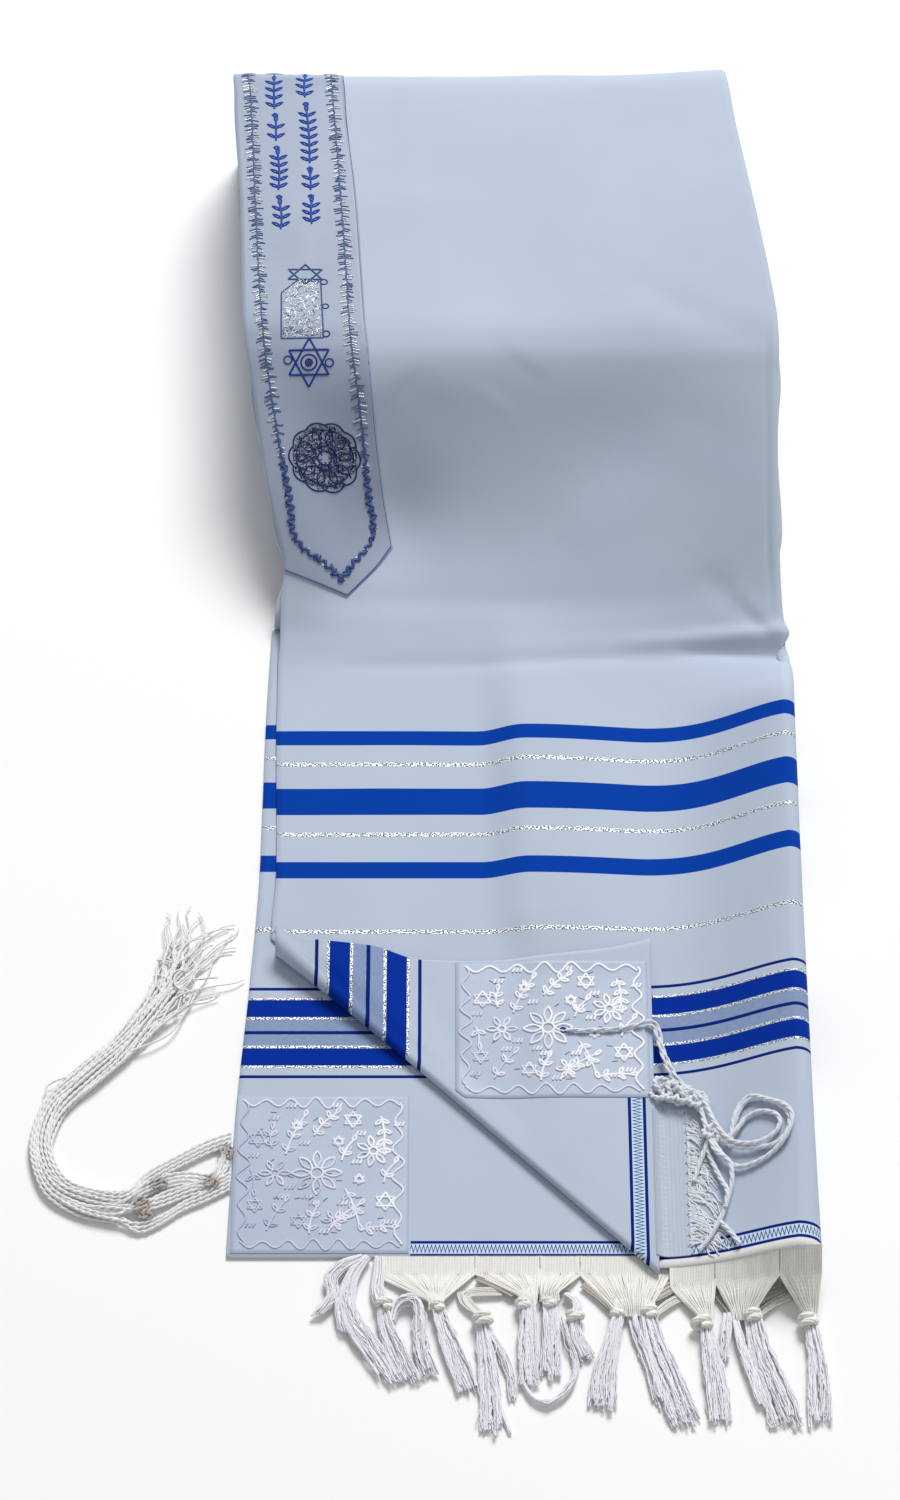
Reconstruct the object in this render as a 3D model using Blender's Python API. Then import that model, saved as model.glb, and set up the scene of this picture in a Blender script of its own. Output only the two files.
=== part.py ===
"""Tallit folded in half along its length and laid down over its own folded half.

Metres, +Z up. X runs across the shawl, Y from the fringed end towards the top fold.
Tables are in millimetres and are scaled by MM where they are read.
"""
import math
from collections import namedtuple

import bmesh
import bpy
from mathutils import Matrix, Vector

MM = 0.001

# Walls and clearances
CLOTH = 1.4 * MM              # wall of the shawl's own cloth
TRIM = 1.0 * MM               # wall of the neckband and the corner patches
SEAM = 0.3 * MM               # clearance between pieces that touch
STACK = 1.5 * MM              # how far the hidden layers lie under the front layer

# Plan sizes
FRONT_HEM = -337 * MM         # front layer's fringed edge
BACK_HEM = -329 * MM          # back layer's fringed edge
BACK_END = 84 * MM            # where the back layer passes into the hidden layers
FOLD_SUM = -228 * MM          # the corner is turned over along the line x + y = FOLD_SUM
CORNER_HEM = 109 * MM         # the turned corner's fringed edge

# Front layer along its run. y, z: top of what carries it; left, right: its edges;
# crest: height of the puffed fold; round: crest to fold edge; foot_in, foot: where the
# turned-under edge ends, inwards and in height; band: width of the neckband there;
# steps: mesh rows up to the next station.
Station = namedtuple("Station", "y z left right crest round foot_in foot band steps")
RUN = [
    Station(-337, 1.7, -98, 193, 26, 12, 27, -0.85, 61, 3),
    Station(-240, 1.7, -98, 192, 29, 8, 25, -0.85, 61, 3),
    Station(-130, 1.7, -98, 192, 30, 7, 25, -0.85, 61, 2),
    Station(-84, 1.7, -96, 192, 32, 6, 25, -0.85, 61, 3),
    Station(12, 1.7, -98, 193, 31, 6, 24, -0.85, 61, 2),
    Station(40, 1.9, -98, 194, 20, 6, 20, -1.05, 61, 2),
    Station(57, 2.5, -98, 194, 10, 5, 15, -1.55, 61, 2),
    Station(75, 6.0, -97, 192, 6.5, 4, 8, -1.8, 61, 2),
    Station(93, 14, -97, 190, 5, 3.5, 4, -2.0, 61, 2),
    Station(112, 25, -95, 189, 4, 3, 2, -3.0, 62.5, 2),
    Station(152, 48, -105, 188.5, 4, 3, 1.5, -5.5, 66, 3),
    Station(206, 75, -114, 189, 4, 3, 1.5, -8.5, 68.5, 2),
    Station(228, 84.5, -118, 190, 4, 3, 1.5, -9.5, 70.5, 2),
    Station(246, 88, -120, 189.5, 4, 3, 1.5, -10, 70.5, 2),
    Station(337, 90, -124, 179, 4, 3, 1.5, -10, 68.5, 2),
    Station(405, 88, -129, 170, 4, 3, 1.5, -10, 66, 1),
    Station(430, 86.5, -130, 168, 4, 3, 1.5, -10, 65.5, 1),
    Station(443, 82.5, -131, 167, 4, 3, 1.5, -9, 65.5, 1),
    Station(452, 73, -131, 167, 4, 3, 1.5, -9, 65.5, 1),
    Station(455, 60, -131, 167, 4, 3, 1.5, -8, 65.5, 2),
    Station(453, 30, -131, 167, 4, 3, 1.5, -6, 65.5, 2),
    Station(449, 1.2, -131, 167, 4, 3, 1.5, -4, 65.5, 0),
]
BAND_COLUMNS = 5              # mesh columns across the neckband
OPEN_COLUMNS = 15             # mesh columns from there to the crest of the fold
ROUND_COLUMNS = 3             # mesh columns over the fold's edge
UNDER_COLUMNS = 3             # mesh columns under the fold

# Long soft ridge in the front layer. y: place along the run; x: its crest; high: its height
Ridge = namedtuple("Ridge", "y x high")
RIDGE = [
    Ridge(-337, 60, 1.0),
    Ridge(-160, 55, 1.5),
    Ridge(-110, 45, 6.0),
    Ridge(0, 42, 7.5),
    Ridge(50, 40, 4.0),
    Ridge(90, 40, 0.0),
]
RIDGE_LEFT = 26 * MM          # the ridge's steep side
RIDGE_RIGHT = 58 * MM         # its shallow side
RISE_WIDTH = 84 * MM          # how far the puffed fold reaches into the front layer
RISE_POWER = 1.25             # above 1, the fold rises late and steeply
FOLD_FLAT = 0.95              # height of the fold's round edge as a share of its width
FOOT_BOW = 1.05               # how far the turned-under edge bows on its way in
FOOT_START = 1.5              # how steeply it starts down

# Hollows in the raised part. y, x: middle; deep: depth; long, wide: spread
Hollow = namedtuple("Hollow", "y x deep long wide")
HOLLOWS = [
    Hollow(133, -5, 8, 48, 80),
    Hollow(178, 125, 6, 44, 90),
    Hollow(141, 20, 6, 48, 170),
    Hollow(219, 18, -3.5, 24, 90),
    Hollow(330, 20, 1, 60, 80),
]
HOLLOW_FROM = 8 * MM          # the hollows begin where the front layer is higher than this
HOLLOW_OVER = 22 * MM         # and have their depth this much higher
HOLLOW_SIDE = 34 * MM         # how far in from the open edge they deepen
BACK_TURN = 430 * MM          # where the front layer starts to turn down at the top fold

# Back layer's left edge and its right edge inside the fold
Edge = namedtuple("Edge", "y left")
BACK_EDGE = [
    Edge(-329, -117),
    Edge(-239, -114),
    Edge(-162, -109),
    Edge(-83, -105),
    Edge(13, -104),
    Edge(84, -102),
]

# Turned corner. x: across; top: its selvedge; roll: radius of its fold; lift: rise of its
# cloth above the front layer at the fold's far side
Turn = namedtuple("Turn", "x top roll lift")
TURNED = [
    Turn(-95, -130, 6.5, 11),
    Turn(-86, -135, 6.0, 11),
    Turn(-76, -138, 5.0, 10),
    Turn(-43, -140, 3.2, 6),
    Turn(-16, -147, 2.4, 2.5),
    Turn(10, -147, 2.2, 1.2),
    Turn(80, -141, 2.2, 1.5),
    Turn(109, -134, 2.2, 1.5),
]

ROLL_FALL = 22 * MM           # from the rolled fold down to the cloth's own height

# Corner patches, in plan
Patch = namedtuple("Patch", "left right low high")
BACK_PATCH = Patch(-115, -22, -327, -230)
FRONT_PATCH = Patch(3, 107, -235, -148)

# Hidden layers: lips of the folded stack, from the floor up, and how far each is set in
Lip = namedtuple("Lip", "left right")
LIPS = [
    Lip(5, 3),
    Lip(1.5, -3),
    Lip(4, 1),
    Lip(1, -3.5),
    Lip(3, -1),
    Lip(4, 4.5),
]
GROOVE = 3.5 * MM             # how deep the furrow between two lips is
GROOVE_SHARE = 0.12           # the same on a thin stack, as a share of its height
LIP_ROUND = [(0.0, 1.0), (0.3, 0.2), (0.7, 0.2)]  # share up a lip, share of the furrow there
NOSE_OUT = 4 * MM             # the stack's low end stands out to the back layer's edge
NOSE_FADE = 32 * MM           # and is drawn in again over this length
RIGHT_TUCK = 5.5 * MM         # set in where the front layer's fold comes down over them
STACK_START = 88 * MM         # first row of the front layer that the stack carries
NOSE_TOP = 5.5 * MM           # height of the stack's low end
STACK_COLUMNS = 18            # mesh columns across the stack's top
BULGE_FILL = 0.6              # share of the front layer's bulges that the stack follows
STACK_SIDES = (6 * MM, 7 * MM)  # from the front layer's edges to the stack's flat top
LOOSE_FROM = 15 * MM          # lips part from each other where the stack is higher than this
LOOSE_OVER = 25 * MM
# Foot of the hidden layers under each station from the back turn on
FEET = {430: 414, 443: 424, 452: 432, 455: 438, 453: 442, 449: 444}
FOOT_TOP = 6 * MM             # least height of the stack's last section

# Neckband's pointed end, in plan
Corner = namedtuple("Corner", "x y")
BAND_POINT = [Corner(-94, 109), Corner(-58, 96), Corner(-33, 124)]

# Fringe. header: strip along the hem; fans hang from it, each drawn into one or more knots
HEADER = 10 * MM
HEADER_WALL = 1.5 * MM
LOW = 0.3 * MM                # how far the fringe stays above the floor
STRIP_FALL = 0.6              # share of the hem's height left at the strip's lower edge
Fan = namedtuple("Fan", "left right knot_x knot_y")
Tassel = namedtuple("Tassel", "x y knot tip_x tip_y spread locks root")
BACK_FANS = [
    Fan(-53, -42, -56, -352),
    Fan(-40, 14, -7, -361),
    Fan(16, 64, 41, -358),
    Fan(66, 102, 92, -364),
]
BACK_TASSELS = [
    Tassel(-57, -354, 5.0, -68, -376, 9, 6, -48),
    Tassel(-43, -365, 5.0, -24, -403, 8, 6, -45),
    Tassel(-23, -361, 5.0, -11, -401, 8, 6, -36),
    Tassel(-7, -365, 5.5, 4, -412, 8, 6, -7),
    Tassel(18, -373, 5.5, 20, -434, 9, 8, 14),
    Tassel(41, -362, 5.5, 38, -412, 8, 6, 41),
    Tassel(61, -368, 5.0, 72, -394, 8, 5, 66),
    Tassel(91, -368, 6.0, 80, -424, 8, 7, 84),
]
FRONT_FANS = [
    Fan(111, 137, 131, -369),
    Fan(139, 171, 156, -364),
    Fan(173, 191, 184, -368),
]
FRONT_TASSELS = [
    Tassel(112, -367, 5.0, 120, -428, 9, 8, 114),
    Tassel(131, -372, 5.5, 139, -426, 7, 7, 131),
    Tassel(156, -368, 6.0, 163, -416, 9, 8, 156),
    Tassel(184, -371, 5.5, 184, -431, 9, 8, 184),
]

# Knots and the locks that hang from them
KNOT_FLAT = 0.75              # height of a knot as a share of its width
KNOT_FORM = [(-1.0, 0.35), (-0.6, 0.9), (0.1, 1.05), (0.7, 0.75), (1.0, 0.3)]  # along, wide
ROOT_CORD = (1.0 * MM, 1.7 * MM, 2.4 * MM)  # radii of the cord from the strip to a knot
LOCK = (1.3 * MM, 0.95 * MM)  # radius of a lock at its knot and at its tip
LOCK_TIPS = (1.6 * MM, 3.9 * MM)  # height of the tips of the lower and the upper locks
FAN_END = (3.6 * MM, 1.6 * MM)  # half width and half thickness of a fan at its knot

# The turned corner's fringe, which lies on the front layer
FLAP_HEADER = 8 * MM
FLAP_FRINGE = (-332 * MM, -242 * MM)
FLAP_THREADS = 20
FLAP_THREAD_END = 149 * MM
FLAP_WALL = 1.2 * MM
FLAP_OVER = 2.2 * MM          # threads' middle above the front layer

# Corner tassels: the middle of the bundle's route, and half its width
Route = namedtuple("Route", "x y half")
Knot = namedtuple("Knot", "x y radius")
LEFT_ROUTE = [
    Route(-121.2, -271, 2.2),
    Route(-134, -277, 9),
    Route(-150, -284, 11),
    Route(-165, -291, 9),
    Route(-182, -297, 7),
    Route(-200, -293, 6.5),
    Route(-213, -282, 6.2),
    Route(-219, -266, 6),
    Route(-217, -250, 6),
    Route(-208, -234, 6.5),
    Route(-195, -217, 7),
    Route(-180, -199, 7.5),
    Route(-165, -180, 8.5),
    Route(-152, -162, 10),
    Route(-143, -147, 12),
]
LEFT_TIPS = [(-158, -113), (-149, -110), (-141, -108), (-133, -113),
             (-121, -120), (-115, -137), (-113, -154), (-127, -164)]
LEFT_KNOT = Knot(-121.2, -271, 6.5)
FRONT_KNOT = Knot(127, -229, 7.0)
STRING = 1.1 * MM             # radius of a corner tassel's string
# Strings from the knot on the turned corner's edge. x, y: route; up: height over the cloth
Way = namedtuple("Way", "x y up")
FRONT_STRINGS = {
    "loop_outer": [Way(127, -229, 5), Way(139, -243, 5), Way(152, -258, 3.2), Way(166, -263, 3.2),
                   Way(180, -255, 3.2), Way(185, -243, 3.2), Way(178, -232, 3.2), Way(166, -232, 3.2),
                   Way(158, -242, 3.2), Way(154, -256, 5.5), Way(150, -270, 5.5), Way(147, -290, 4.8),
                   Way(141, -310, 4.8), Way(131, -325, 4.8)],
    "loop_inner": [Way(127, -229, 7), Way(141, -239, 5), Way(155, -253, 3.2), Way(166, -257, 3.2),
                   Way(175, -251, 3.2), Way(179, -243, 3.2), Way(174, -237, 3.2), Way(167, -238, 3.2),
                   Way(163, -245, 3), Way(159, -256, 5.5), Way(155, -272, 5), Way(152, -292, 4.6),
                   Way(149, -312, 4.8), Way(153, -326, 3)],
    "fall_left": [Way(127, -229, 4), Way(129, -243, 5.5), Way(135, -258, 5.5), Way(139, -270, 5.5),
                  Way(131, -283, 5.5), Way(126, -296, 5.5)],
    "fall_right": [Way(127, -229, 4), Way(134, -246, 6), Way(144, -262, 9.5), Way(141, -280, 6),
                   Way(138, -300, 6), Way(140, -318, 6)],
    "hole": [Way(127, -229, 5), Way(120, -214, 6), Way(116, -199, 6.5), Way(112, -189, 7.5),
             Way(103, -187, 8), Way(84, -194, 8.2), Way(66, -193, 8.0)],
}


def table_curve(keys, values):
    """Smooth curve through a table without overshoot."""
    count = len(keys)
    rises = [(values[i + 1] - values[i]) / (keys[i + 1] - keys[i]) for i in range(count - 1)]
    slopes = [rises[0]]
    for before, after in zip(rises, rises[1:]):
        slopes.append(2 * before * after / (before + after) if before * after > 0 else 0.0)
    slopes.append(rises[-1])

    def value(at):
        at = min(max(at, keys[0]), keys[-1])
        i = 0
        while i < count - 2 and at > keys[i + 1]:
            i += 1
        span = keys[i + 1] - keys[i]
        t = (at - keys[i]) / span
        return (values[i] * (1 + 2 * t) * (1 - t) ** 2
                + values[i + 1] * t * t * (3 - 2 * t)
                + slopes[i] * span * t * (1 - t) ** 2
                - slopes[i + 1] * span * t * t * (1 - t))
    return value


def curve_of(rows, key, column):
    """Curve of one column of a table over another, in metres."""
    keys = [getattr(row, key) * MM for row in rows]
    return table_curve(keys, [getattr(row, column) * MM for row in rows])


def smooth(t):
    t = min(max(t, 0.0), 1.0)
    return t * t * (3 - 2 * t)


run_curves = {name: table_curve(list(range(len(RUN))), [getattr(row, name) * MM for row in RUN])
              for name in Station._fields if name != "steps"}
ridge_x = curve_of(RIDGE, "y", "x")
ridge_high = curve_of(RIDGE, "y", "high")
back_left = curve_of(BACK_EDGE, "y", "left")


def station(at):
    """Sizes of the front layer at one place along its run."""
    place = {name: curve(at) for name, curve in run_curves.items()}
    ahead = Vector((0, run_curves["y"](at + 0.05) - run_curves["y"](at - 0.05),
                    run_curves["z"](at + 0.05) - run_curves["z"](at - 0.05))).normalized()
    place["out"] = Vector((0, -ahead.z, ahead.y))
    return place


def run_places():
    """Mesh rows along the run, as places in the table."""
    places = []
    for i, row in enumerate(RUN[:-1]):
        places += [i + k / row.steps for k in range(row.steps)]
    return places + [len(RUN) - 1]


def hollow(x, place):
    """Depth of the raised part's hollows."""
    if place["z"] <= HOLLOW_FROM or place["y"] >= BACK_TURN:
        return 0.0
    deep = 0.0
    for row in HOLLOWS:
        away = ((place["y"] / MM - row.y) / row.long) ** 2 + ((x / MM - row.x) / row.wide) ** 2
        deep += row.deep * MM * math.exp(-away)
    inside = smooth((x - place["left"] - STACK_SIDES[0]) / HOLLOW_SIDE)
    return deep * inside * smooth((place["z"] - HOLLOW_FROM) / HOLLOW_OVER)


def fold_rise(x, place):
    """Share of the puffed fold's height that the front layer has at x."""
    crest_x = place["right"] - place["round"]
    t = (x - crest_x + RISE_WIDTH) / RISE_WIDTH
    return smooth(max(t, 0.0) ** RISE_POWER)


def front_height(x, place):
    """Height of the front layer's middle above what carries it, left of the fold's crest."""
    y = place["y"]
    across = x - ridge_x(y)
    side = RIDGE_LEFT if across < 0 else RIDGE_RIGHT
    ridge = ridge_high(y) * (1 - smooth(abs(across) / side))
    rise = fold_rise(x, place)
    return (CLOTH / 2 + ridge - hollow(x, place)) * (1 - rise) + place["crest"] * rise


def front_row(at):
    """Middle line of the front layer's wall at one place along its run."""
    place = station(at)
    y = place["y"]
    left = max(place["left"], FOLD_SUM - y)
    crest_x = place["right"] - place["round"]
    band = place["band"] / (crest_x - place["left"])
    shares = [band * k / BAND_COLUMNS for k in range(BAND_COLUMNS)]
    shares += [band + (1 - band) * k / OPEN_COLUMNS for k in range(OPEN_COLUMNS + 1)]
    section = []
    for share in shares:
        x = left + (crest_x - left) * share
        section.append((x, front_height(x, place)))
    drop = FOLD_FLAT * place["round"]
    for k in range(1, ROUND_COLUMNS + 1):
        turn = math.pi / 2 * k / ROUND_COLUMNS
        section.append((crest_x + place["round"] * math.sin(turn),
                        place["crest"] - drop * (1 - math.cos(turn))))
    high = place["crest"] - drop
    foot = place["foot"]
    for k in range(1, UNDER_COLUMNS + 1):
        t = k / UNDER_COLUMNS
        inwards = FOOT_BOW * t * t * (1 - t) + t ** 3
        down = FOOT_START * t * (1 - t) ** 2 + 3 * t * t * (1 - t) + t ** 3
        section.append((place["right"] - place["foot_in"] * inwards, high + (foot - high) * down))
    base = Vector((0, y, place["z"]))
    return [base + Vector((x, 0, 0)) + place["out"] * height for x, height in section]


def grid_sheet(rows):
    """Triangulated open sheet through rows of points, facing up, with its normals kept."""
    sheet = bmesh.new()
    kept = sheet.verts.layers.float_vector.new("out")
    points = [[sheet.verts.new(point) for point in row] for row in rows]
    for low, high in zip(points, points[1:]):
        for a, b, c, d in zip(low, low[1:], high[1:], high):
            sheet.faces.new((a, b, c))
            sheet.faces.new((a, c, d))
    sheet.normal_update()
    for vert in sheet.verts:
        vert[kept] = vert.normal
    return sheet


def cut_sheet(sheet, planes):
    """Copy of a sheet, cut by planes given as a point and the side that goes."""
    piece = sheet.copy()
    for point, away in planes:
        whole = piece.verts[:] + piece.edges[:] + piece.faces[:]
        bmesh.ops.bisect_plane(piece, geom=whole, plane_co=point, plane_no=away, clear_outer=True)
    bmesh.ops.triangulate(piece, faces=piece.faces[:])
    return piece


def wall_from(sheet, low, high):
    """Closed wall between two distances from a sheet, along its kept normals."""
    kept = sheet.verts.layers.float_vector["out"]
    wall = bmesh.new()
    lower = {}
    upper = {}
    for vert in sheet.verts:
        out = Vector(vert[kept]).normalized()
        lower[vert] = wall.verts.new(vert.co + out * low)
        upper[vert] = wall.verts.new(vert.co + out * high)
    for face in sheet.faces:
        wall.faces.new([upper[v] for v in face.verts])
        wall.faces.new([lower[v] for v in reversed(face.verts)])
    for edge in sheet.edges:
        if edge.is_boundary:
            loop = edge.link_loops[0]
            a = loop.vert
            b = loop.link_loop_next.vert
            wall.faces.new((upper[b], upper[a], lower[a], lower[b]))
    return wall


def material(name, colour, roughness):
    made = bpy.data.materials.get(name) or bpy.data.materials.new(name)
    made.use_nodes = True
    shader = made.node_tree.nodes["Principled BSDF"]
    shader.inputs["Base Color"].default_value = (*colour, 1)
    shader.inputs["Roughness"].default_value = roughness
    shader.inputs["Metallic"].default_value = 0.0
    made.diffuse_color = (*colour, 1)
    return made


CLOTH_WHITE = ("cloth_white", (0.50, 0.56, 0.67), 0.75)
BAND_SATIN = ("band_satin", (0.45, 0.50, 0.60), 0.45)
PATCH_SATIN = ("patch_satin", (0.55, 0.60, 0.70), 0.40)
FRINGE_CREAM = ("fringe_cream", (0.68, 0.67, 0.63), 0.85)


def place_node(name, body, finish):
    """One named object from a bmesh."""
    bmesh.ops.triangulate(body, faces=body.faces[:])
    mesh = bpy.data.meshes.new(name)
    body.to_mesh(mesh)
    body.free()
    mesh.shade_smooth()
    mesh.set_sharp_from_angle(angle=math.radians(50))
    node = bpy.data.objects.new(name, mesh)
    node.data.materials.append(material(*finish))
    bpy.context.scene.collection.objects.link(node)
    return node


def front_sheet():
    return grid_sheet([front_row(at) for at in run_places()])


def back_sheet():
    """Back layer, flat on the floor, out to where the front layer turns under."""
    places = [station(at) for at in run_places()]
    first = places[0]
    rows = [(BACK_HEM, first["right"] - first["foot_in"] - SEAM)]
    for place in places:
        if BACK_HEM < place["y"] < BACK_END - 4 * MM:
            rows.append((place["y"], place["right"] - place["foot_in"] - SEAM))
    rows.append((BACK_END, rows[-1][1]))
    columns = 6
    sheet = []
    for y, right in rows:
        left = back_left(y)
        sheet.append([Vector((left + (right - left) * k / columns, y, CLOTH / 2))
                      for k in range(columns + 1)])
    return grid_sheet(sheet)


def stack_solid():
    """Hidden half of the shawl: one rounded stack, layered at its edges."""
    stops = [at for at in run_places() if station(at)["y"] > STACK_START]
    feet = {i: FEET.get(row.y, row.y) * MM for i, row in enumerate(RUN)}
    foot_curve = table_curve(list(feet), list(feet.values()))
    nose = BACK_END + SEAM
    sections = [stack_section(station(stops[0]), Vector((0, nose, NOSE_TOP)), Vector((0, nose, 0)))]
    for at in stops:
        place = station(at)
        top = Vector((0, place["y"], max(place["z"], FOOT_TOP)))
        sections.append(stack_section(place, top, Vector((0, foot_curve(at), 0))))
    return loft_closed(sections)


def stack_section(place, top, foot):
    """Closed outline of the stack: up its left lips, across the top, down its right lips."""
    lift = top - foot
    groove = min(GROOVE, lift.length * GROOVE_SHARE)
    loose = smooth((lift.length - LOOSE_FROM) / LOOSE_OVER)
    loose *= smooth((BACK_TURN + 10 * MM - top.y) / (20 * MM))
    nose_out = NOSE_OUT * (1 - smooth((top.y - BACK_END) / NOSE_FADE))
    left = []
    right = []
    for i, lip in enumerate(LIPS):
        left_x = place["left"] + lip.left * MM * loose - nose_out
        right_x = place["right"] - RIGHT_TUCK - (lip.right * MM - RIGHT_TUCK) * loose
        for part, depth in LIP_ROUND:
            at_floor = i == 0 and part == 0.0
            cut = groove * (0.3 if at_floor else depth)
            point = foot + lift * (i + part) / len(LIPS)
            left.append(point + Vector((left_x + cut, 0, 0)))
            right.append(point + Vector((right_x - cut, 0, 0)))
    left_top = place["left"] + STACK_SIDES[0]
    right_top = place["right"] - STACK_SIDES[1]
    across = []
    for k in range(STACK_COLUMNS + 1):
        x = left_top + (right_top - left_top) * k / STACK_COLUMNS
        sunk = hollow(x, place) * (1 - fold_rise(x, place))
        if sunk < 0:
            sunk *= BULGE_FILL
        across.append(Vector((x, 0, 0)) + top - place["out"] * (STACK + sunk))
    return left + across + right[::-1]


def loft_closed(sections):
    """Closed solid through outlines with the same count of points."""
    solid = bmesh.new()
    rings = [[solid.verts.new(point) for point in section] for section in sections]
    count = len(rings[0])
    for low, high in zip(rings, rings[1:]):
        for k in range(count):
            n = (k + 1) % count
            solid.faces.new((low[k], low[n], high[n], high[k]))
    solid.faces.new(list(reversed(rings[0])))
    solid.faces.new(rings[-1])
    bmesh.ops.recalc_face_normals(solid, faces=solid.faces[:])
    return solid


def turned_sheet():
    """Corner of the front layer, folded over along a diagonal and lying on its own layer."""
    top_curve = curve_of(TURNED, "x", "top")
    roll_curve = curve_of(TURNED, "x", "roll")
    lift_curve = curve_of(TURNED, "x", "lift")
    columns = 17
    roll_steps = 4
    flat_steps = 7
    start = TURNED[0].x * MM
    rows = [[] for _ in range(roll_steps + flat_steps + 1)]
    for k in range(columns + 1):
        x = start + (CORNER_HEM - start) * k / columns
        fold = FOLD_SUM - x - SEAM * math.sqrt(2)
        roll = roll_curve(x)
        low = RUN[0].z * MM + CLOTH / 2
        for i in range(roll_steps + 1):
            turn = math.pi * i / roll_steps
            rows[i].append(Vector((x, fold - math.sqrt(2) * roll * math.sin(turn),
                                   low + roll * (1 - math.cos(turn)))))
        for i in range(1, flat_steps + 1):
            t = i / flat_steps
            y = fold + (top_curve(x) - fold) * t
            rest = front_z(x, y) + CLOTH + 1.0 * MM + lift_curve(x)
            share = smooth(t * (top_curve(x) - fold) / ROLL_FALL)
            rows[roll_steps + i].append(Vector((x, y, low + 2 * roll + (rest - low - 2 * roll) * share)))
    return grid_sheet([list(row) for row in rows])


def front_z(x, y):
    """Height of the front layer's middle over the floor, where it lies on the back layer."""
    low = 0.0
    high = 4.0
    for _ in range(30):       # halving finds the place in the table that lies at y
        middle = (low + high) / 2
        if run_curves["y"](middle) < y:
            low = middle
        else:
            high = middle
    place = station(low)
    return place["z"] + front_height(x, place)


def tube(points, radii, sides, turn=0.4):
    """Closed tapered tube along points."""
    sections = []
    for i, point in enumerate(points):
        ahead = (points[min(i + 1, len(points) - 1)] - points[max(i - 1, 0)]).normalized()
        side = ahead.cross(Vector((0, 0, 1)))
        side = side.normalized() if side.length > 1e-3 else Vector((1, 0, 0))
        up = side.cross(ahead)
        ring = []
        for k in range(sides):
            angle = turn + 2 * math.pi * k / sides
            ring.append(point + side * math.cos(angle) * radii[i] + up * math.sin(angle) * radii[i])
        sections.append(ring)
    return loft_closed(sections)


def knot_ball(centre, radius):
    """Small closed ball with flattened height."""
    points = [centre + Vector((0, radius * along, 0)) for along, _ in KNOT_FORM]
    ball = tube(points, [radius * wide for _, wide in KNOT_FORM], 7)
    for vert in ball.verts:
        vert.co.z = centre.z + (vert.co.z - centre.z) * KNOT_FLAT
    return ball


def fuse(name, pieces, finish):
    """One closed solid from overlapping closed pieces."""
    def link(label, body):
        mesh = bpy.data.meshes.new(label)
        body.to_mesh(mesh)
        body.free()
        made = bpy.data.objects.new(label, mesh)
        bpy.context.scene.collection.objects.link(made)
        return made

    whole = link(name + "_whole", pieces[0])
    rest = bmesh.new()
    for piece in pieces[1:]:
        mesh = bpy.data.meshes.new("piece")
        piece.to_mesh(mesh)
        piece.free()
        rest.from_mesh(mesh)
        bpy.data.meshes.remove(mesh)
    other = link(name + "_rest", rest)
    join = whole.modifiers.new("join", "BOOLEAN")
    join.operation = "UNION"
    join.solver = "EXACT"
    join.use_self = True
    join.object = other
    depsgraph = bpy.context.evaluated_depsgraph_get()
    fused = bmesh.new()
    fused.from_object(whole, depsgraph)
    bpy.data.objects.remove(whole)
    bpy.data.objects.remove(other)
    bmesh.ops.remove_doubles(fused, verts=fused.verts[:], dist=0.001 * MM)
    return place_node(name, fused, finish)


def tassel_pieces(tassels, hem, rise):
    """Knots and the loose locks that hang from them."""
    pieces = []
    for number, row in enumerate(tassels):
        centre = Vector((row.x * MM, row.y * MM, LOW + 0.6 * MM + row.knot * MM * KNOT_FLAT))
        pieces.append(knot_ball(centre, row.knot * MM))
        near, far = rise(row.root * MM)
        root = Vector((row.root * MM, hem - SEAM - 0.7 * HEADER, near * 0.3 + far * 0.7))
        pieces.append(tube([root, root.lerp(centre, 0.6), centre], ROOT_CORD, 5))
        for k in range(row.locks):
            pieces.append(lock(row, centre, number, k))
    return pieces


def lock(row, centre, number, k):
    """One loose lock of a tassel, spread to its own side and a little bowed."""
    base = Vector((centre.x, centre.y, 0))
    ahead = Vector((row.tip_x * MM, row.tip_y * MM, 0)) - base
    side = Vector((-ahead.y, ahead.x, 0)).normalized()
    share = 2 * (k + 0.5) / row.locks - 1
    upper = k % 2
    length = 1.0 - 0.07 * ((k * 5 + number * 3) % 4) / 3
    root_z = centre.z + (0.9 if upper else -1.0) * MM
    tip_z = LOW + LOCK_TIPS[upper]
    bow = 1.6 * MM * math.sin(number * 2.1 + 1)
    points = []
    radii = []
    for t in (0.0, 0.22, 0.6, 1.0):
        spread = share * MM * (row.knot * 0.72 * (1 - t) + row.spread * t)
        spread += bow * math.sin(math.pi * t)
        height = root_z + (tip_z - root_z) * smooth(t * 1.6)
        points.append(base + ahead * t * length + side * spread + Vector((0, 0, height)))
        radii.append(LOCK[0] + (LOCK[1] - LOCK[0]) * t)
    return tube(points, radii, 3, turn=0.3 + 0.2 * k)


def fan_pieces(fans, hem, rise):
    """Threads of the header drawn together into knots, as flat tapering plates."""
    pieces = []
    base = hem - SEAM - HEADER
    columns = 4
    for row in fans:
        sections = []
        for k in range(columns + 1):
            share = k / columns
            x = (row.left + (row.right - row.left) * share) * MM
            near, far = rise(x)
            top = Vector((x, base + 1 * MM, near * 0.1 + far * 0.9))
            end_x = row.knot_x * MM + FAN_END[0] * (2 * share - 1)
            end = Vector((end_x, row.knot_y * MM, LOW + FAN_END[1] + 0.5 * MM))
            thin = Vector((0, 0, HEADER_WALL / 2))
            thick = Vector((0, 0, FAN_END[1]))
            sections.append([top - thin, end - thick, end + thick, top + thin])
        pieces.append(loft_closed(sections))
    return pieces


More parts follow.
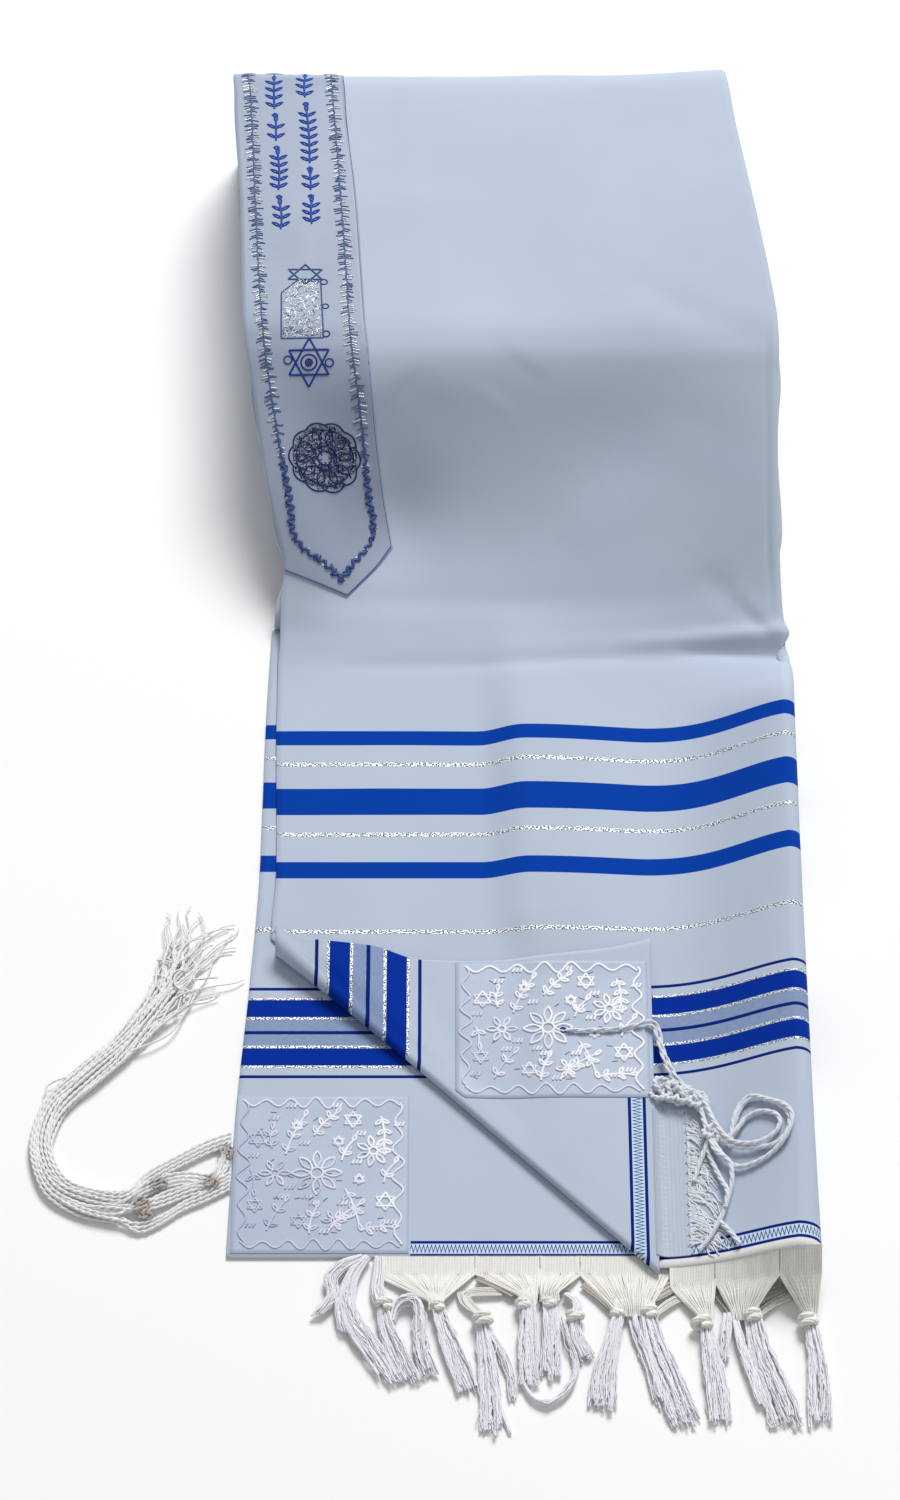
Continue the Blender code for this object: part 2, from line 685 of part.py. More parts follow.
def header_strip(left, right, hem, rise):
    """Strip along a hem, as high as the hem and falling away from it."""
    steps = 8
    half = (HEADER_WALL - 0.2 * MM) / 2
    sections = []
    for k in range(steps + 1):
        x = left + (right - left) * k / steps
        near, far = rise(x)
        sections.append([Vector((x, hem - SEAM, near - half)), Vector((x, hem - SEAM, near + half)),
                         Vector((x, hem - SEAM - HEADER, far + half)),
                         Vector((x, hem - SEAM - HEADER, far - half))])
    return loft_closed(sections)


def flat_rise(x):
    """Back layer's strip lies just above the floor."""
    return LOW + HEADER_WALL / 2, LOW + HEADER_WALL / 2


def puffed_rise(x):
    """Front layer's strip follows its raised hem."""
    near = front_z(x, FRONT_HEM)
    return near, max(near * STRIP_FALL, LOW + HEADER_WALL / 2)


def fringe(name, left, right, hem, rise, fans, tassels):
    header = header_strip(left, right, hem, rise)
    pieces = [header] + fan_pieces(fans, hem, rise) + tassel_pieces(tassels, hem, rise)
    return fuse(name, pieces, FRINGE_CREAM)


def flap_fringe():
    """Fringe of the turned corner: a strip along its edge and loose threads beyond it."""
    low, high = FLAP_FRINGE
    steps = 6
    strip = []
    for i in range(steps + 1):
        y = low + (high - low) * i / steps
        inner = Vector((CORNER_HEM + SEAM, y, front_z(CORNER_HEM, y) + CLOTH + TURNED[-1].lift * MM + 1 * MM))
        outer_x = CORNER_HEM + FLAP_HEADER
        outer = Vector((outer_x, y, front_z(outer_x, y) + CLOTH / 2 + SEAM + 1.5 * MM))
        half = Vector((0, 0, FLAP_WALL / 2))
        strip.append([inner - half, outer - half, outer + half, inner + half])
    pieces = [loft_closed(strip)]
    start = CORNER_HEM + FLAP_HEADER - 2 * MM
    for k in range(FLAP_THREADS):
        y = low + (high - low) * (k + 0.5) / FLAP_THREADS
        end = FLAP_THREAD_END - 2 * MM * ((k * 3) % 4)
        points = []
        for t in (0.0, 0.33, 0.66, 1.0):
            x = start + (end - start) * t
            drift = y + t * 2.6 * MM * math.sin(k * 1.7)
            points.append(Vector((x, drift, front_z(x, drift) + CLOTH / 2 + FLAP_OVER)))
        pieces.append(tube(points, [0.8 * MM, 1.0 * MM, 0.9 * MM, 0.7 * MM], 3, turn=0.5))
    return fuse("fringe_turned", pieces, FRINGE_CREAM)


def smooth_route(points, count):
    """Points spaced evenly along a smooth curve through hand-set points."""
    dense = []
    last = len(points) - 1
    for i in range(last):
        a = points[max(i - 1, 0)]
        b = points[i]
        c = points[i + 1]
        d = points[min(i + 2, last)]
        for k in range(8):
            t = k / 8
            dense.append(0.5 * (2 * b + (c - a) * t + (2 * a - 5 * b + 4 * c - d) * t * t
                                + (3 * b - a - 3 * c + d) * t ** 3))
    dense.append(points[-1])
    lengths = [0.0]
    for a, b in zip(dense, dense[1:]):
        lengths.append(lengths[-1] + (b - a).length)
    route = []
    j = 0
    for k in range(count):
        want = lengths[-1] * k / (count - 1)
        while j < len(dense) - 2 and lengths[j + 1] < want:
            j += 1
        share = (want - lengths[j]) / (lengths[j + 1] - lengths[j])
        route.append(dense[j].lerp(dense[j + 1], min(share, 1.0)))
    return route


def left_tassel():
    """Corner tassel that comes out under the back layer: a knot and eight strings."""
    knot = LEFT_KNOT
    centre = Vector((knot.x * MM, knot.y * MM, LOW + knot.radius * MM * KNOT_FLAT))
    pieces = [knot_ball(centre, knot.radius * MM)]
    count = len(LEFT_TIPS)
    for k, tip in enumerate(LEFT_TIPS):
        share = 1 - 2 * k / (count - 1)
        level = LOW + (3.1 if k % 2 == 0 else 1.3) * STRING
        points = []
        for i, row in enumerate(LEFT_ROUTE):
            before = LEFT_ROUTE[max(i - 1, 0)]
            after = LEFT_ROUTE[min(i + 1, len(LEFT_ROUTE) - 1)]
            ahead = Vector((after.x - before.x, after.y - before.y, 0)).normalized()
            side = Vector((-ahead.y, ahead.x, 0))
            wave = 0.5 * math.sin(1.3 * i + 2.1 * k)
            points.append(Vector((row.x * MM, row.y * MM, level)) + side * (share * row.half + wave) * MM)
        points.append(Vector((tip[0] * MM, tip[1] * MM, LOW + 1.3 * STRING)))
        pieces.append(tube(smooth_route(points, 20), [STRING] * 19 + [STRING * 0.6], 3))
    return fuse("corner_tassel_left", pieces, FRINGE_CREAM)


def front_tassel():
    """Corner tassel of the turned corner: its knot and the strings that loop over the front."""
    def over_cloth(x, y, up):
        return Vector((x, y, front_z(x, y) + CLOTH / 2 + up))

    knot = FRONT_KNOT
    centre = over_cloth(knot.x * MM, knot.y * MM, 6.4 * MM)
    pieces = [knot_ball(centre, knot.radius * MM)]
    for ways in FRONT_STRINGS.values():
        points = [over_cloth(way.x * MM, way.y * MM, way.up * MM) for way in ways]
        count = 2 * len(ways)
        pieces.append(tube(smooth_route(points, count), [STRING] * count, 3))
    return fuse("corner_tassel_front", pieces, FRINGE_CREAM)


def band_sheet(front):
    """Neckband: the front layer's own surface along its open edge, cut to a point."""
    band = front.copy()
    width = BAND_COLUMNS
    columns = BAND_COLUMNS + OPEN_COLUMNS + ROUND_COLUMNS + UNDER_COLUMNS + 1
    band.verts.ensure_lookup_table()
    outside = [vert for vert in band.verts if vert.index % columns > width]
    bmesh.ops.delete(band, geom=outside, context="VERTS")
    corners = [Vector((row.x * MM, row.y * MM, 0)) for row in BAND_POINT]
    planes = []
    for a, b in zip(corners, corners[1:]):
        along = b - a
        planes.append((a, Vector((along.y, -along.x, 0)).normalized()))
    return cut_sheet(band, planes)


def patch_sheet(sheet, patch, beyond_fold=False):
    """Corner patch: the part of a layer's surface inside its plan rectangle."""
    low = Vector((patch.left * MM, patch.low * MM, 0))
    high = Vector((patch.right * MM, patch.high * MM, 0))
    planes = [(low, Vector((-1, 0, 0))), (low, Vector((0, -1, 0))),
              (high, Vector((1, 0, 0))), (high, Vector((0, 1, 0)))]
    if beyond_fold:
        inside = FOLD_SUM / 2 + 0.5 * MM
        planes.append((Vector((inside, inside, 0)), Vector((-1, -1, 0)).normalized()))
    return cut_sheet(sheet, planes)


def trim_wall(sheet):
    low = CLOTH / 2 + SEAM
    return wall_from(sheet, low, low + TRIM)


def stand_on_centre(nodes):
    """Puts the middle of the whole shawl's footprint at the origin, on the floor."""
    points = [vert.co for node in nodes for vert in node.data.vertices]
    low = Vector(min(point[axis] for point in points) for axis in range(3))
    high = Vector(max(point[axis] for point in points) for axis in range(3))
    middle = Vector(((low.x + high.x) / 2, (low.y + high.y) / 2, low.z))
    for node in nodes:
        node.data.transform(Matrix.Translation(-middle))
    return middle


def main():
    for old in list(bpy.data.objects):
        bpy.data.objects.remove(old)

    front = front_sheet()
    place_node("front_layer", wall_from(front, -CLOTH / 2, CLOTH / 2), CLOTH_WHITE)
    back = back_sheet()
    place_node("back_layer", wall_from(back, -CLOTH / 2, CLOTH / 2), CLOTH_WHITE)
    place_node("hidden_layers", stack_solid(), CLOTH_WHITE)
    turned = turned_sheet()
    place_node("turned_corner", wall_from(turned, -CLOTH / 2, CLOTH / 2), CLOTH_WHITE)
    place_node("neckband", trim_wall(band_sheet(front)), BAND_SATIN)
    place_node("patch_back", trim_wall(patch_sheet(back, BACK_PATCH)), PATCH_SATIN)
    place_node("patch_front", trim_wall(patch_sheet(turned, FRONT_PATCH, True)), PATCH_SATIN)
    fringe("fringe_back", -54 * MM, 103 * MM, BACK_HEM, flat_rise, BACK_FANS, BACK_TASSELS)
    fringe("fringe_front", 110 * MM, 192 * MM, FRONT_HEM, puffed_rise, FRONT_FANS, FRONT_TASSELS)
    flap_fringe()
    left_tassel()
    front_tassel()
    stand_on_centre(list(bpy.data.objects))


main()
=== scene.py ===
import math
import random

import bmesh
import bpy
import numpy as np
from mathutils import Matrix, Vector


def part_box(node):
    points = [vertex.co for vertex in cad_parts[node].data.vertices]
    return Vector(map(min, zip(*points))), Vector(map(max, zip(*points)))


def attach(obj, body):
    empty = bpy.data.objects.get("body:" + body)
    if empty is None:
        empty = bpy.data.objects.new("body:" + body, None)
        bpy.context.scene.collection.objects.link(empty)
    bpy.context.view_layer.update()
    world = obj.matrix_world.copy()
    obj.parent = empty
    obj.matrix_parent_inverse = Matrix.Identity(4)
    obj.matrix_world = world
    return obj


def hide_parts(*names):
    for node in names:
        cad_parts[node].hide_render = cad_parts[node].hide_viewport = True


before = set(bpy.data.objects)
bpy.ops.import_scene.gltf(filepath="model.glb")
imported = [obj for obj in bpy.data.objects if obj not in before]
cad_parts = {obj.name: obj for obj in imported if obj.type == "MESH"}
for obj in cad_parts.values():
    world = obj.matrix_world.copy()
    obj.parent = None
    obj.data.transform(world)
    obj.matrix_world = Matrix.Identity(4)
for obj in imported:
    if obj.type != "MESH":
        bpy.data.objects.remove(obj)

# Sizes are in millimetres in the shawl's own layout: x across, y away from the fringe, z up.
# The layout's origin is found from the lowest corner of the back patch.
mm = 0.001
pi = math.pi
patchStart = (-115, -327)
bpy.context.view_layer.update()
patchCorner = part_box("patch_back")[0]
layoutShift = np.array([patchCorner.x - patchStart[0] * mm, patchCorner.y - patchStart[1] * mm, 0.0])


def toFrame(points):
    return np.asarray(points, float) * mm + layoutShift


# camera, floor and light

view = {
    "elevation": 54.0,      # degrees above the floor
    "distance": 2.6555,     # metres from the layout's origin
    "lens": 112.8,          # focal length, mm
    "sensor": 36,           # along the picture's height, mm
    "reach": (0.1, 20),     # nearest and furthest that the camera draws, metres
}


def setCamera():
    lift = math.radians(view["elevation"])
    camera = bpy.data.cameras.new("shawlCamera")
    camera.sensor_fit = "VERTICAL"
    camera.sensor_height = view["sensor"]
    camera.lens = view["lens"]
    camera.clip_start, camera.clip_end = view["reach"]
    holder = bpy.data.objects.new("shawlCamera", camera)
    away = Vector((0, -math.cos(lift), math.sin(lift))) * view["distance"]
    holder.location = away + Vector(layoutShift)
    holder.rotation_euler = (pi / 2 - lift, 0, 0)
    bpy.context.scene.collection.objects.link(holder)
    bpy.context.scene.camera = holder


room = {
    "floorHalf": 3.0,       # half of the floor's side, metres
    "floorHigh": -0.0006,
    "floorShade": 0.93,
    "floorRoughness": 0.9,
    "skyStrength": 0.34,
    # place, size and power: a large soft light behind the top fold, a weak one from the viewer's side
    "keyLight": ((1.26, 5.06, 5.80), 3.6, 594.0),
    "fillLight": ((0.9, -1.8, 1.6), 1.6, 4.0),
}


def areaLight(name):
    place, size, power = room[name]
    lamp = bpy.data.lights.new(name, "AREA")
    lamp.shape = "DISK"
    lamp.size = size
    lamp.energy = power
    holder = bpy.data.objects.new(name, lamp)
    holder.location = place
    holder.rotation_euler = (-Vector(place)).to_track_quat("-Z", "Y").to_euler()     # faces the shawl
    bpy.context.scene.collection.objects.link(holder)


def setRoom():
    half = room["floorHalf"]
    mesh = bpy.data.meshes.new("paleFloor")
    corners = [(-half, -half), (half, -half), (half, half), (-half, half)]
    mesh.from_pydata([(x, y, room["floorHigh"]) for x, y in corners], [], [(0, 1, 2, 3)])
    floor = bpy.data.objects.new("paleFloor", mesh)
    bpy.context.scene.collection.objects.link(floor)
    pale = bpy.data.materials.new("paleFloor")
    pale.use_nodes = True
    shader = pale.node_tree.nodes["Principled BSDF"]
    shader.inputs["Base Color"].default_value = (*[room["floorShade"]] * 3, 1)
    shader.inputs["Roughness"].default_value = room["floorRoughness"]
    mesh.materials.append(pale)
    areaLight("keyLight")
    areaLight("fillLight")
    world = bpy.data.worlds.new("softRoom")
    world.use_nodes = True
    sky = world.node_tree.nodes["Background"]
    sky.inputs["Color"].default_value = (1, 1, 1, 1)
    sky.inputs["Strength"].default_value = room["skyStrength"]
    bpy.context.scene.world = world
    bpy.context.scene.view_settings.view_transform = "Standard"


setCamera()
setRoom()
print("camera, floor and light set")


# shader maths

class Wire:
    # One socket of a node tree; plain operators add Math nodes to it.
    def __init__(self, board, socket):
        self.board = board
        self.socket = socket

    def math(self, operation, *others):
        values = dict(enumerate((self, *others)))
        return self.board.node("ShaderNodeMath", {"operation": operation}, values, 0)

    def swapped(self, operation, first):
        return self.board.node("ShaderNodeMath", {"operation": operation}, {0: first, 1: self}, 0)

    def __add__(self, other):
        return self.math("ADD", other)

    def __sub__(self, other):
        return self.math("SUBTRACT", other)

    def __rsub__(self, other):
        return self.swapped("SUBTRACT", other)

    def __mul__(self, other):
        return self.math("MULTIPLY", other)

    def __truediv__(self, other):
        return self.math("DIVIDE", other)

    def __rtruediv__(self, other):
        return self.swapped("DIVIDE", other)

    def __abs__(self):
        return self.math("ABSOLUTE")

    __radd__ = __add__
    __rmul__ = __mul__


class Board:
    # A node tree whose nodes are added by type, settings and socket values.
    def __init__(self, tree):
        self.tree = tree

    def node(self, kind, settings, values, output):
        made = self.tree.nodes.new(kind)
        for name, value in settings.items():
            setattr(made, name, value)
        for name, value in values.items():
            self.feed(made.inputs[name], value)
        return Wire(self, made.outputs[output])

    def feed(self, socket, value):
        if isinstance(value, Wire):
            self.tree.links.new(value.socket, socket)
        else:
            socket.default_value = (*value, 1) if socket.type == "RGBA" else value

    def join(self, x, y, z=0.0):
        return self.node("ShaderNodeCombineXYZ", {}, {0: x, 1: y, 2: z}, 0)

    def vector(self, operation, first, second):
        slot = 3 if operation == "SCALE" else 1      # a number goes into the Scale socket
        return self.node("ShaderNodeVectorMath", {"operation": operation}, {0: first, slot: second}, 0)


class Finish(Board):
    # A material: plain values by socket name, and whatever changes over the surface by set and bump.
    def __init__(self, name, **plain):
        self.material = bpy.data.materials.new(name)
        self.material.use_nodes = True
        super().__init__(self.material.node_tree)
        self.shader = self.tree.nodes["Principled BSDF"]
        for socket, value in plain.items():
            self.set(socket.replace("_", " "), value)

    def set(self, socket, value):
        self.feed(self.shader.inputs[socket], value)

    def uv(self):
        # u and v of the piece's own map, mm
        flat = self.vector("SCALE", self.node("ShaderNodeUVMap", {"uv_map": "clothUV"}, {}, "UV"), 1 / mm)
        parts = self.node("ShaderNodeSeparateXYZ", {}, {0: flat}, 0).socket.node
        return Wire(self, parts.outputs[0]), Wire(self, parts.outputs[1])

    def place(self):
        # place in the object's own coordinates, mm
        return self.vector("SCALE", self.node("ShaderNodeTexCoord", {}, {}, "Object"), 1 / mm)

    def own(self, name):
        return self.node("ShaderNodeAttribute", {"attribute_name": name}, {}, "Fac")

    def mix(self, mask, first, second):
        return self.node("ShaderNodeMix", {"data_type": "RGBA"}, {0: mask, 6: first, 7: second}, 2)

    def step(self, value, edge, soft):
        settings = {"interpolation_type": "SMOOTHSTEP"}
        values = {"Value": value, "From Min": edge - soft, "From Max": edge + soft}
        return self.node("ShaderNodeMapRange", settings, values, 0)

    def band(self, value, limits, soft):
        # 1 between the limits of a stripe
        return self.step(value, limits[0], soft) * (1 - self.step(value, limits[1], soft))

    def bands(self, value, stripes, soft):
        total = self.band(value, stripes[0], soft)
        for limits in stripes[1:]:
            total = total + self.band(value, limits, soft)
        return total

    def noise(self, place, scale, detail):
        values = {"Vector": place, "Scale": scale, "Detail": detail}
        return self.node("ShaderNodeTexNoise", {}, values, "Fac")

    def grain(self, u, v, detail, third=0.0):
        # noise drawn out along one direction; u and v are given in its own scale
        return self.noise(self.join(u, v, third), 1.0, detail)

    def bump(self, height, strength, distance):
        values = {"Height": height, "Strength": strength, "Distance": distance}
        self.set("Normal", self.node("ShaderNodeBump", {}, values, "Normal"))


def srgb(red, green, blue):
    # 0-255 screen values as the linear colour a shader takes
    shares = [value / 255 for value in (red, green, blue)]
    return tuple(x / 12.92 if x <= 0.04045 else ((x + 0.055) / 1.055) ** 2.4 for x in shares)


clothLook = {
    "ground": (srgb(184, 197, 212), srgb(176, 186, 206)),
    "blue": (srgb(0, 66, 170), srgb(0, 44, 140)),               # the three wide stripes
    "deepBlue": (srgb(0, 50, 158), srgb(0, 26, 118)),           # stripes of the group near the hem
    "greyBlue": (srgb(118, 138, 178), srgb(146, 162, 192)),
    "navy": srgb(4, 34, 118),
    "hemEdge": srgb(226, 226, 224),     # the fringe's woven edge
    # silver is a painted glint and the dark silver below is a painted dark reflection, both on the metal
    # dots
    "silver": srgb(240, 244, 246),
    "silverPlain": srgb(172, 184, 196),
    "silverPaintedDark": srgb(98, 106, 112),
    "ribbonGround": srgb(196, 216, 240),
    "zigzag": srgb(14, 36, 96),
    "edge": 0.16,                       # softness of a stripe's edge, mm
    # stripes by their two sides, distance from the fringed edge
    "wide": [(247, 258), (290, 308), (338, 348)],
    "silverRows": [(210.2, 212.8), (275.3, 277.9), (323.3, 325.9)],
    "groupMiddle": 146.5,               # the group's stripes mirror each other about this distance
    "groupGrey": (1.0, 8.4),
    "groupDeep": (10.0, 21.0),
    "groupNavy": (27.1, 29.0),
    "groupLine": 1.1,                   # half of the thin navy line along its middle
    "groupSilver": [(8.3, 9.9), (21.0, 22.4)],
    "ribbon": (4.4, 14.2),
    "ribbonLine": 1.8,                  # width of the lines along both sides of the hem ribbon
    "zigzagStep": 2.1,
    "zigzagReach": 2.2,
    "zigzagHalf": 0.85,
    "roughness": 0.82,
}


def makeClothFinish(name, ribbonAcross=(-999, 999), hemEdge=True):
    look = clothLook
    soft = look["edge"]
    made = Finish(name, Sheen_Weight=0.02, Sheen_Roughness=0.5, Specular_IOR_Level=0.05)
    u, v = made.uv()
    fibres = made.grain(u * 0.35, v * 5.0, 2.0)
    slubs = made.grain(u * 4.0, v * 0.4, 2.0)
    cloud = made.grain(u * 0.012, v * 0.012, 3.0)
    colour = made.mix(made.step(cloud, 0.5, 0.3) * 0.5 + fibres * 0.25, *look["ground"])
    wideBlue = made.mix(fibres * 0.4 + slubs * 0.2, *look["blue"])
    colour = made.mix(made.bands(v, look["wide"], soft), colour, wideBlue)
    # thin rows of metal thread: broken dots, some with a painted white glint, some with a painted dark
    # reflection
    dots = made.grain(u * 0.95, v * 1.5, 0.0, 3.0)
    bright = made.step(dots, 0.53, 0.04)
    dull = 1 - made.step(dots, 0.46, 0.04)
    rows = made.bands(v, look["silverRows"], 0.3) * (bright + dull)
    # the group near the hem mirrors about its middle line
    w = abs(v - look["groupMiddle"])
    greyWeave = made.step(made.grain(u * 0.3, v * 6.0, 1.0), 0.5, 0.25)
    colour = made.mix(made.band(w, look["groupGrey"], soft), colour, made.mix(greyWeave, *look["greyBlue"]))
    deep = made.mix(fibres * 0.5, *look["deepBlue"])
    colour = made.mix(made.band(w, look["groupDeep"], soft), colour, deep)
    navy = made.band(w, look["groupNavy"], soft) + (1 - made.step(w, look["groupLine"], soft))
    colour = made.mix(navy, colour, look["navy"])
    # hem ribbon: two navy lines with a dark zigzag between them
    low, high = look["ribbon"]
    ribbon = made.band(v, look["ribbon"], soft) * made.band(u, ribbonAcross, 0.3)
    colour = made.mix(ribbon, colour, look["ribbonGround"])
    saw = abs((u / look["zigzagStep"]).math("FRACT") - 0.5) * 4 - 1
    away = abs(v - (low + high) / 2 - saw * look["zigzagReach"])
    zigzag = 1 - made.step(away, look["zigzagHalf"], 0.3)
    colour = made.mix(zigzag * ribbon, colour, look["zigzag"])
    sides = [(low, low + look["ribbonLine"]), (high - look["ribbonLine"], high)]
    lines = ribbon * made.bands(v, sides, soft)
    colour = made.mix(lines, colour, look["navy"])
    if hemEdge:
        colour = made.mix(1 - made.step(v, low, soft), colour, look["hemEdge"])
    metal = rows + made.bands(w, look["groupSilver"], 0.2)
    # the metal's colour: a painted glint on the bright dots and a painted dark reflection on the dull ones
    paintedGlint = made.mix(bright, made.mix(dull, look["silverPlain"], look["silverPaintedDark"]), look["silver"])
    made.set("Base Color", made.mix(metal, colour, paintedGlint))
    made.set("Metallic", metal * bright * 0.4)
    made.set("Roughness", look["roughness"] - metal * 0.4)
    made.bump(fibres * 0.5 + slubs * 0.5 + metal * dots * 3.0 + lines * 0.8, 0.35, 0.00025)
    return made.material


satinLook = {
    # light tone, shaded tone and roughness
    "bandSatin": (srgb(160, 171, 190), srgb(142, 154, 176), 0.38),
    "patchSatin": (srgb(176, 188, 206), srgb(160, 172, 194), 0.34),
}


def makeSatinFinish(name):
    light, dark, roughness = satinLook[name]
    made = Finish(name, Sheen_Weight=0.05, Specular_IOR_Level=0.25, Anisotropic=0.4)
    u, v = made.uv()
    fibres = made.grain(u * 4.0, v * 0.25, 2.0)
    cloud = made.grain(u * 0.05, v * 0.05, 2.0)
    made.set("Base Color", made.mix(fibres * 0.4 + cloud * 0.4, light, dark))
    made.set("Roughness", roughness + fibres * 0.12)
    made.bump(fibres, 0.25, 0.0002)
    return made.material


frontFinish = makeClothFinish("frontCloth")
backFinish = makeClothFinish("backCloth", (96, 999))
turnedFinish = makeClothFinish("turnedCloth", (-99, 150), False)
bandFinish = makeSatinFinish("bandSatin")
patchFinish = makeSatinFinish("patchSatin")
print("cloth finishes made")


# curves and surfaces

def smooth(t):
    t = np.clip(t, 0.0, 1.0)
    return t * t * (3 - 2 * t)


def tableCurve(keys, values):
    # smooth curve through a table, without overshoot
    keys = np.asarray(keys, float)
    values = np.asarray(values, float)
    rises = np.diff(values) / np.diff(keys)
    before, after = rises[:-1], rises[1:]
    total = np.where(before + after == 0, 1.0, before + after)
    inner = np.where(before * after > 0, 2 * before * after / total, 0.0)
    slopes = np.concatenate([rises[:1], inner, rises[-1:]])

    def value(at):
        at = np.clip(np.asarray(at, float), keys[0], keys[-1])
        i = np.clip(np.searchsorted(keys, at) - 1, 0, len(keys) - 2)
        span = keys[i + 1] - keys[i]
        t = (at - keys[i]) / span
        ends = values[i] * (1 + 2 * t) * (1 - t) ** 2 + values[i + 1] * t * t * (3 - 2 * t)
        return ends + slopes[i] * span * t * (1 - t) ** 2 - slopes[i + 1] * span * t * t * (1 - t)
    return value


def unit(vectors):
    return vectors / np.maximum(np.linalg.norm(vectors, axis=-1, keepdims=True), 1e-9)


def lengthsAlong(points):
    # distance of each point from the first, along the line
    steps = np.linalg.norm(np.diff(points, axis=0), axis=1)
    return np.concatenate([[0], np.cumsum(steps)])


def gridNormals(points):
    return unit(np.cross(np.gradient(points, axis=1), np.gradient(points, axis=0)))


def ripple(x, y, scale, seed):
    # gentle unevenness from a few waves that never line up
    total = np.zeros_like(np.asarray(x, float) + np.asarray(y, float))
    picker = random.Random(seed)
    for _ in range(5):
        angle = picker.uniform(0, pi)
        length = scale * picker.uniform(0.7, 1.8)
        phase = picker.uniform(0, 2 * pi)
        wave = (x * math.cos(angle) + y * math.sin(angle)) * 2 * pi / length + phase
        total = total + np.sin(wave) / 5
    return total


def creaseDepth(x, y, creases):
    # soft troughs (depth above 0) and ridges (below 0) along short lines
    deep = np.zeros_like(x)
    for crease in creases:
        points = np.array(crease["path"], float)
        lengths = lengthsAlong(points)
        best = np.full(x.shape, 1e9)
        place = np.zeros_like(x)
        for a, b, start in zip(points[:-1], points[1:], lengths):
            step = b - a
            size = np.linalg.norm(step)
            share = np.clip(((x - a[0]) * step[0] + (y - a[1]) * step[1]) / size ** 2, 0, 1)
            away = np.hypot(x - a[0] - step[0] * share, y - a[1] - step[1] * share)
            nearer = away < best
            best = np.where(nearer, away, best)
            place = np.where(nearer, (start + share * size) / lengths[-1], place)
        depth, wide = (first + (last - first) * place for first, last in (crease["depth"], crease["width"]))
        ends = smooth(place / 0.2) * smooth((1 - place) / crease.get("fade", 0.2))
        deep += depth * ends * np.exp(-(best / wide) ** 2)
    return deep


def placeBetween(value, marks):
    # the mark before a value, and the value's share of the way to the next mark
    place = np.interp(value, marks, np.arange(len(marks)))
    before = int(min(math.floor(place), len(marks) - 2))
    return before, place - before


class Surface:
    # A grid of points in mm with its own across and along sizes, for looking up places on it.
    def __init__(self, points, across, along):
        self.points = points
        self.normals = gridNormals(points)
        self.across = across
        self.along = along

    def at(self, u, v, lift=0.0):
        # the point at u and v, raised by lift, and the direction outwards there
        low, share = placeBetween(v, self.along)
        found = []
        for i in (low, low + 1):
            j, part = placeBetween(u, self.across[i])
            rows = self.points[i], self.normals[i]
            found.append([row[j] * (1 - part) + row[j + 1] * part for row in rows])
        point, out = (near * (1 - share) + far * share for near, far in zip(*found))
        out = unit(out)
        return point + out * lift, out


def linkMesh(name, mesh, *finishes):
    made = bpy.data.objects.new(name, mesh)
    bpy.context.scene.collection.objects.link(made)
    for finish in finishes:
        mesh.materials.append(finish)
    return made


def wallMesh(name, points, uv, low, high, finish, edge=0.35, normals=None):
    # closed thin wall from a grid: two faces and a soft rounded rim
    rows, columns, _ = points.shape
    out = gridNormals(points) if normals is None else normals
    top = points + out * high
    bottom = points + out * low
    rim = [(0, j) for j in range(columns)] + [(i, columns - 1) for i in range(1, rows)]
    rim += [(rows - 1, j) for j in range(columns - 2, -1, -1)] + [(i, 0) for i in range(rows - 2, 0, -1)]
    middle = (low + high) / 2
    rimPoints = []
    for i, j in rim:
        inner = points[min(max(i, 1), rows - 2), min(max(j, 1), columns - 2)]
        rimPoints.append(points[i, j] + out[i, j] * middle + unit(points[i, j] - inner) * edge)
    count = rows * columns
    vertices = np.concatenate([top.reshape(-1, 3), bottom.reshape(-1, 3), np.array(rimPoints)])
    faces = []
    for i in range(rows - 1):
        for j in range(columns - 1):
            a = i * columns + j
            faces.append((a, a + 1, a + columns + 1, a + columns))
            faces.append((count + a + columns, count + a + columns + 1, count + a + 1, count + a))
    for k in range(len(rim)):
        n = (k + 1) % len(rim)
        a = rim[k][0] * columns + rim[k][1]
        b = rim[n][0] * columns + rim[n][1]
        p = 2 * count + k
        q = 2 * count + n
        faces.append((p, q, b, a))
        faces.append((count + a, count + b, q, p))
    mesh = bpy.data.meshes.new(name)
    mesh.from_pydata(toFrame(vertices), [], faces)
    flat = uv.reshape(-1, 2)
    perVertex = np.concatenate([flat, flat, [uv[i, j] for i, j in rim]]) * mm
    layer = mesh.uv_layers.new(name="clothUV")
    loops = np.zeros(len(mesh.loops), int)
    mesh.loops.foreach_get("vertex_index", loops)
    layer.data.foreach_set("uv", perVertex[loops].ravel())
    mesh.shade_smooth()
    mesh.validate()
    return linkMesh(name, mesh, finish)


# the front layer, from its fringed edge up, over the top fold and down

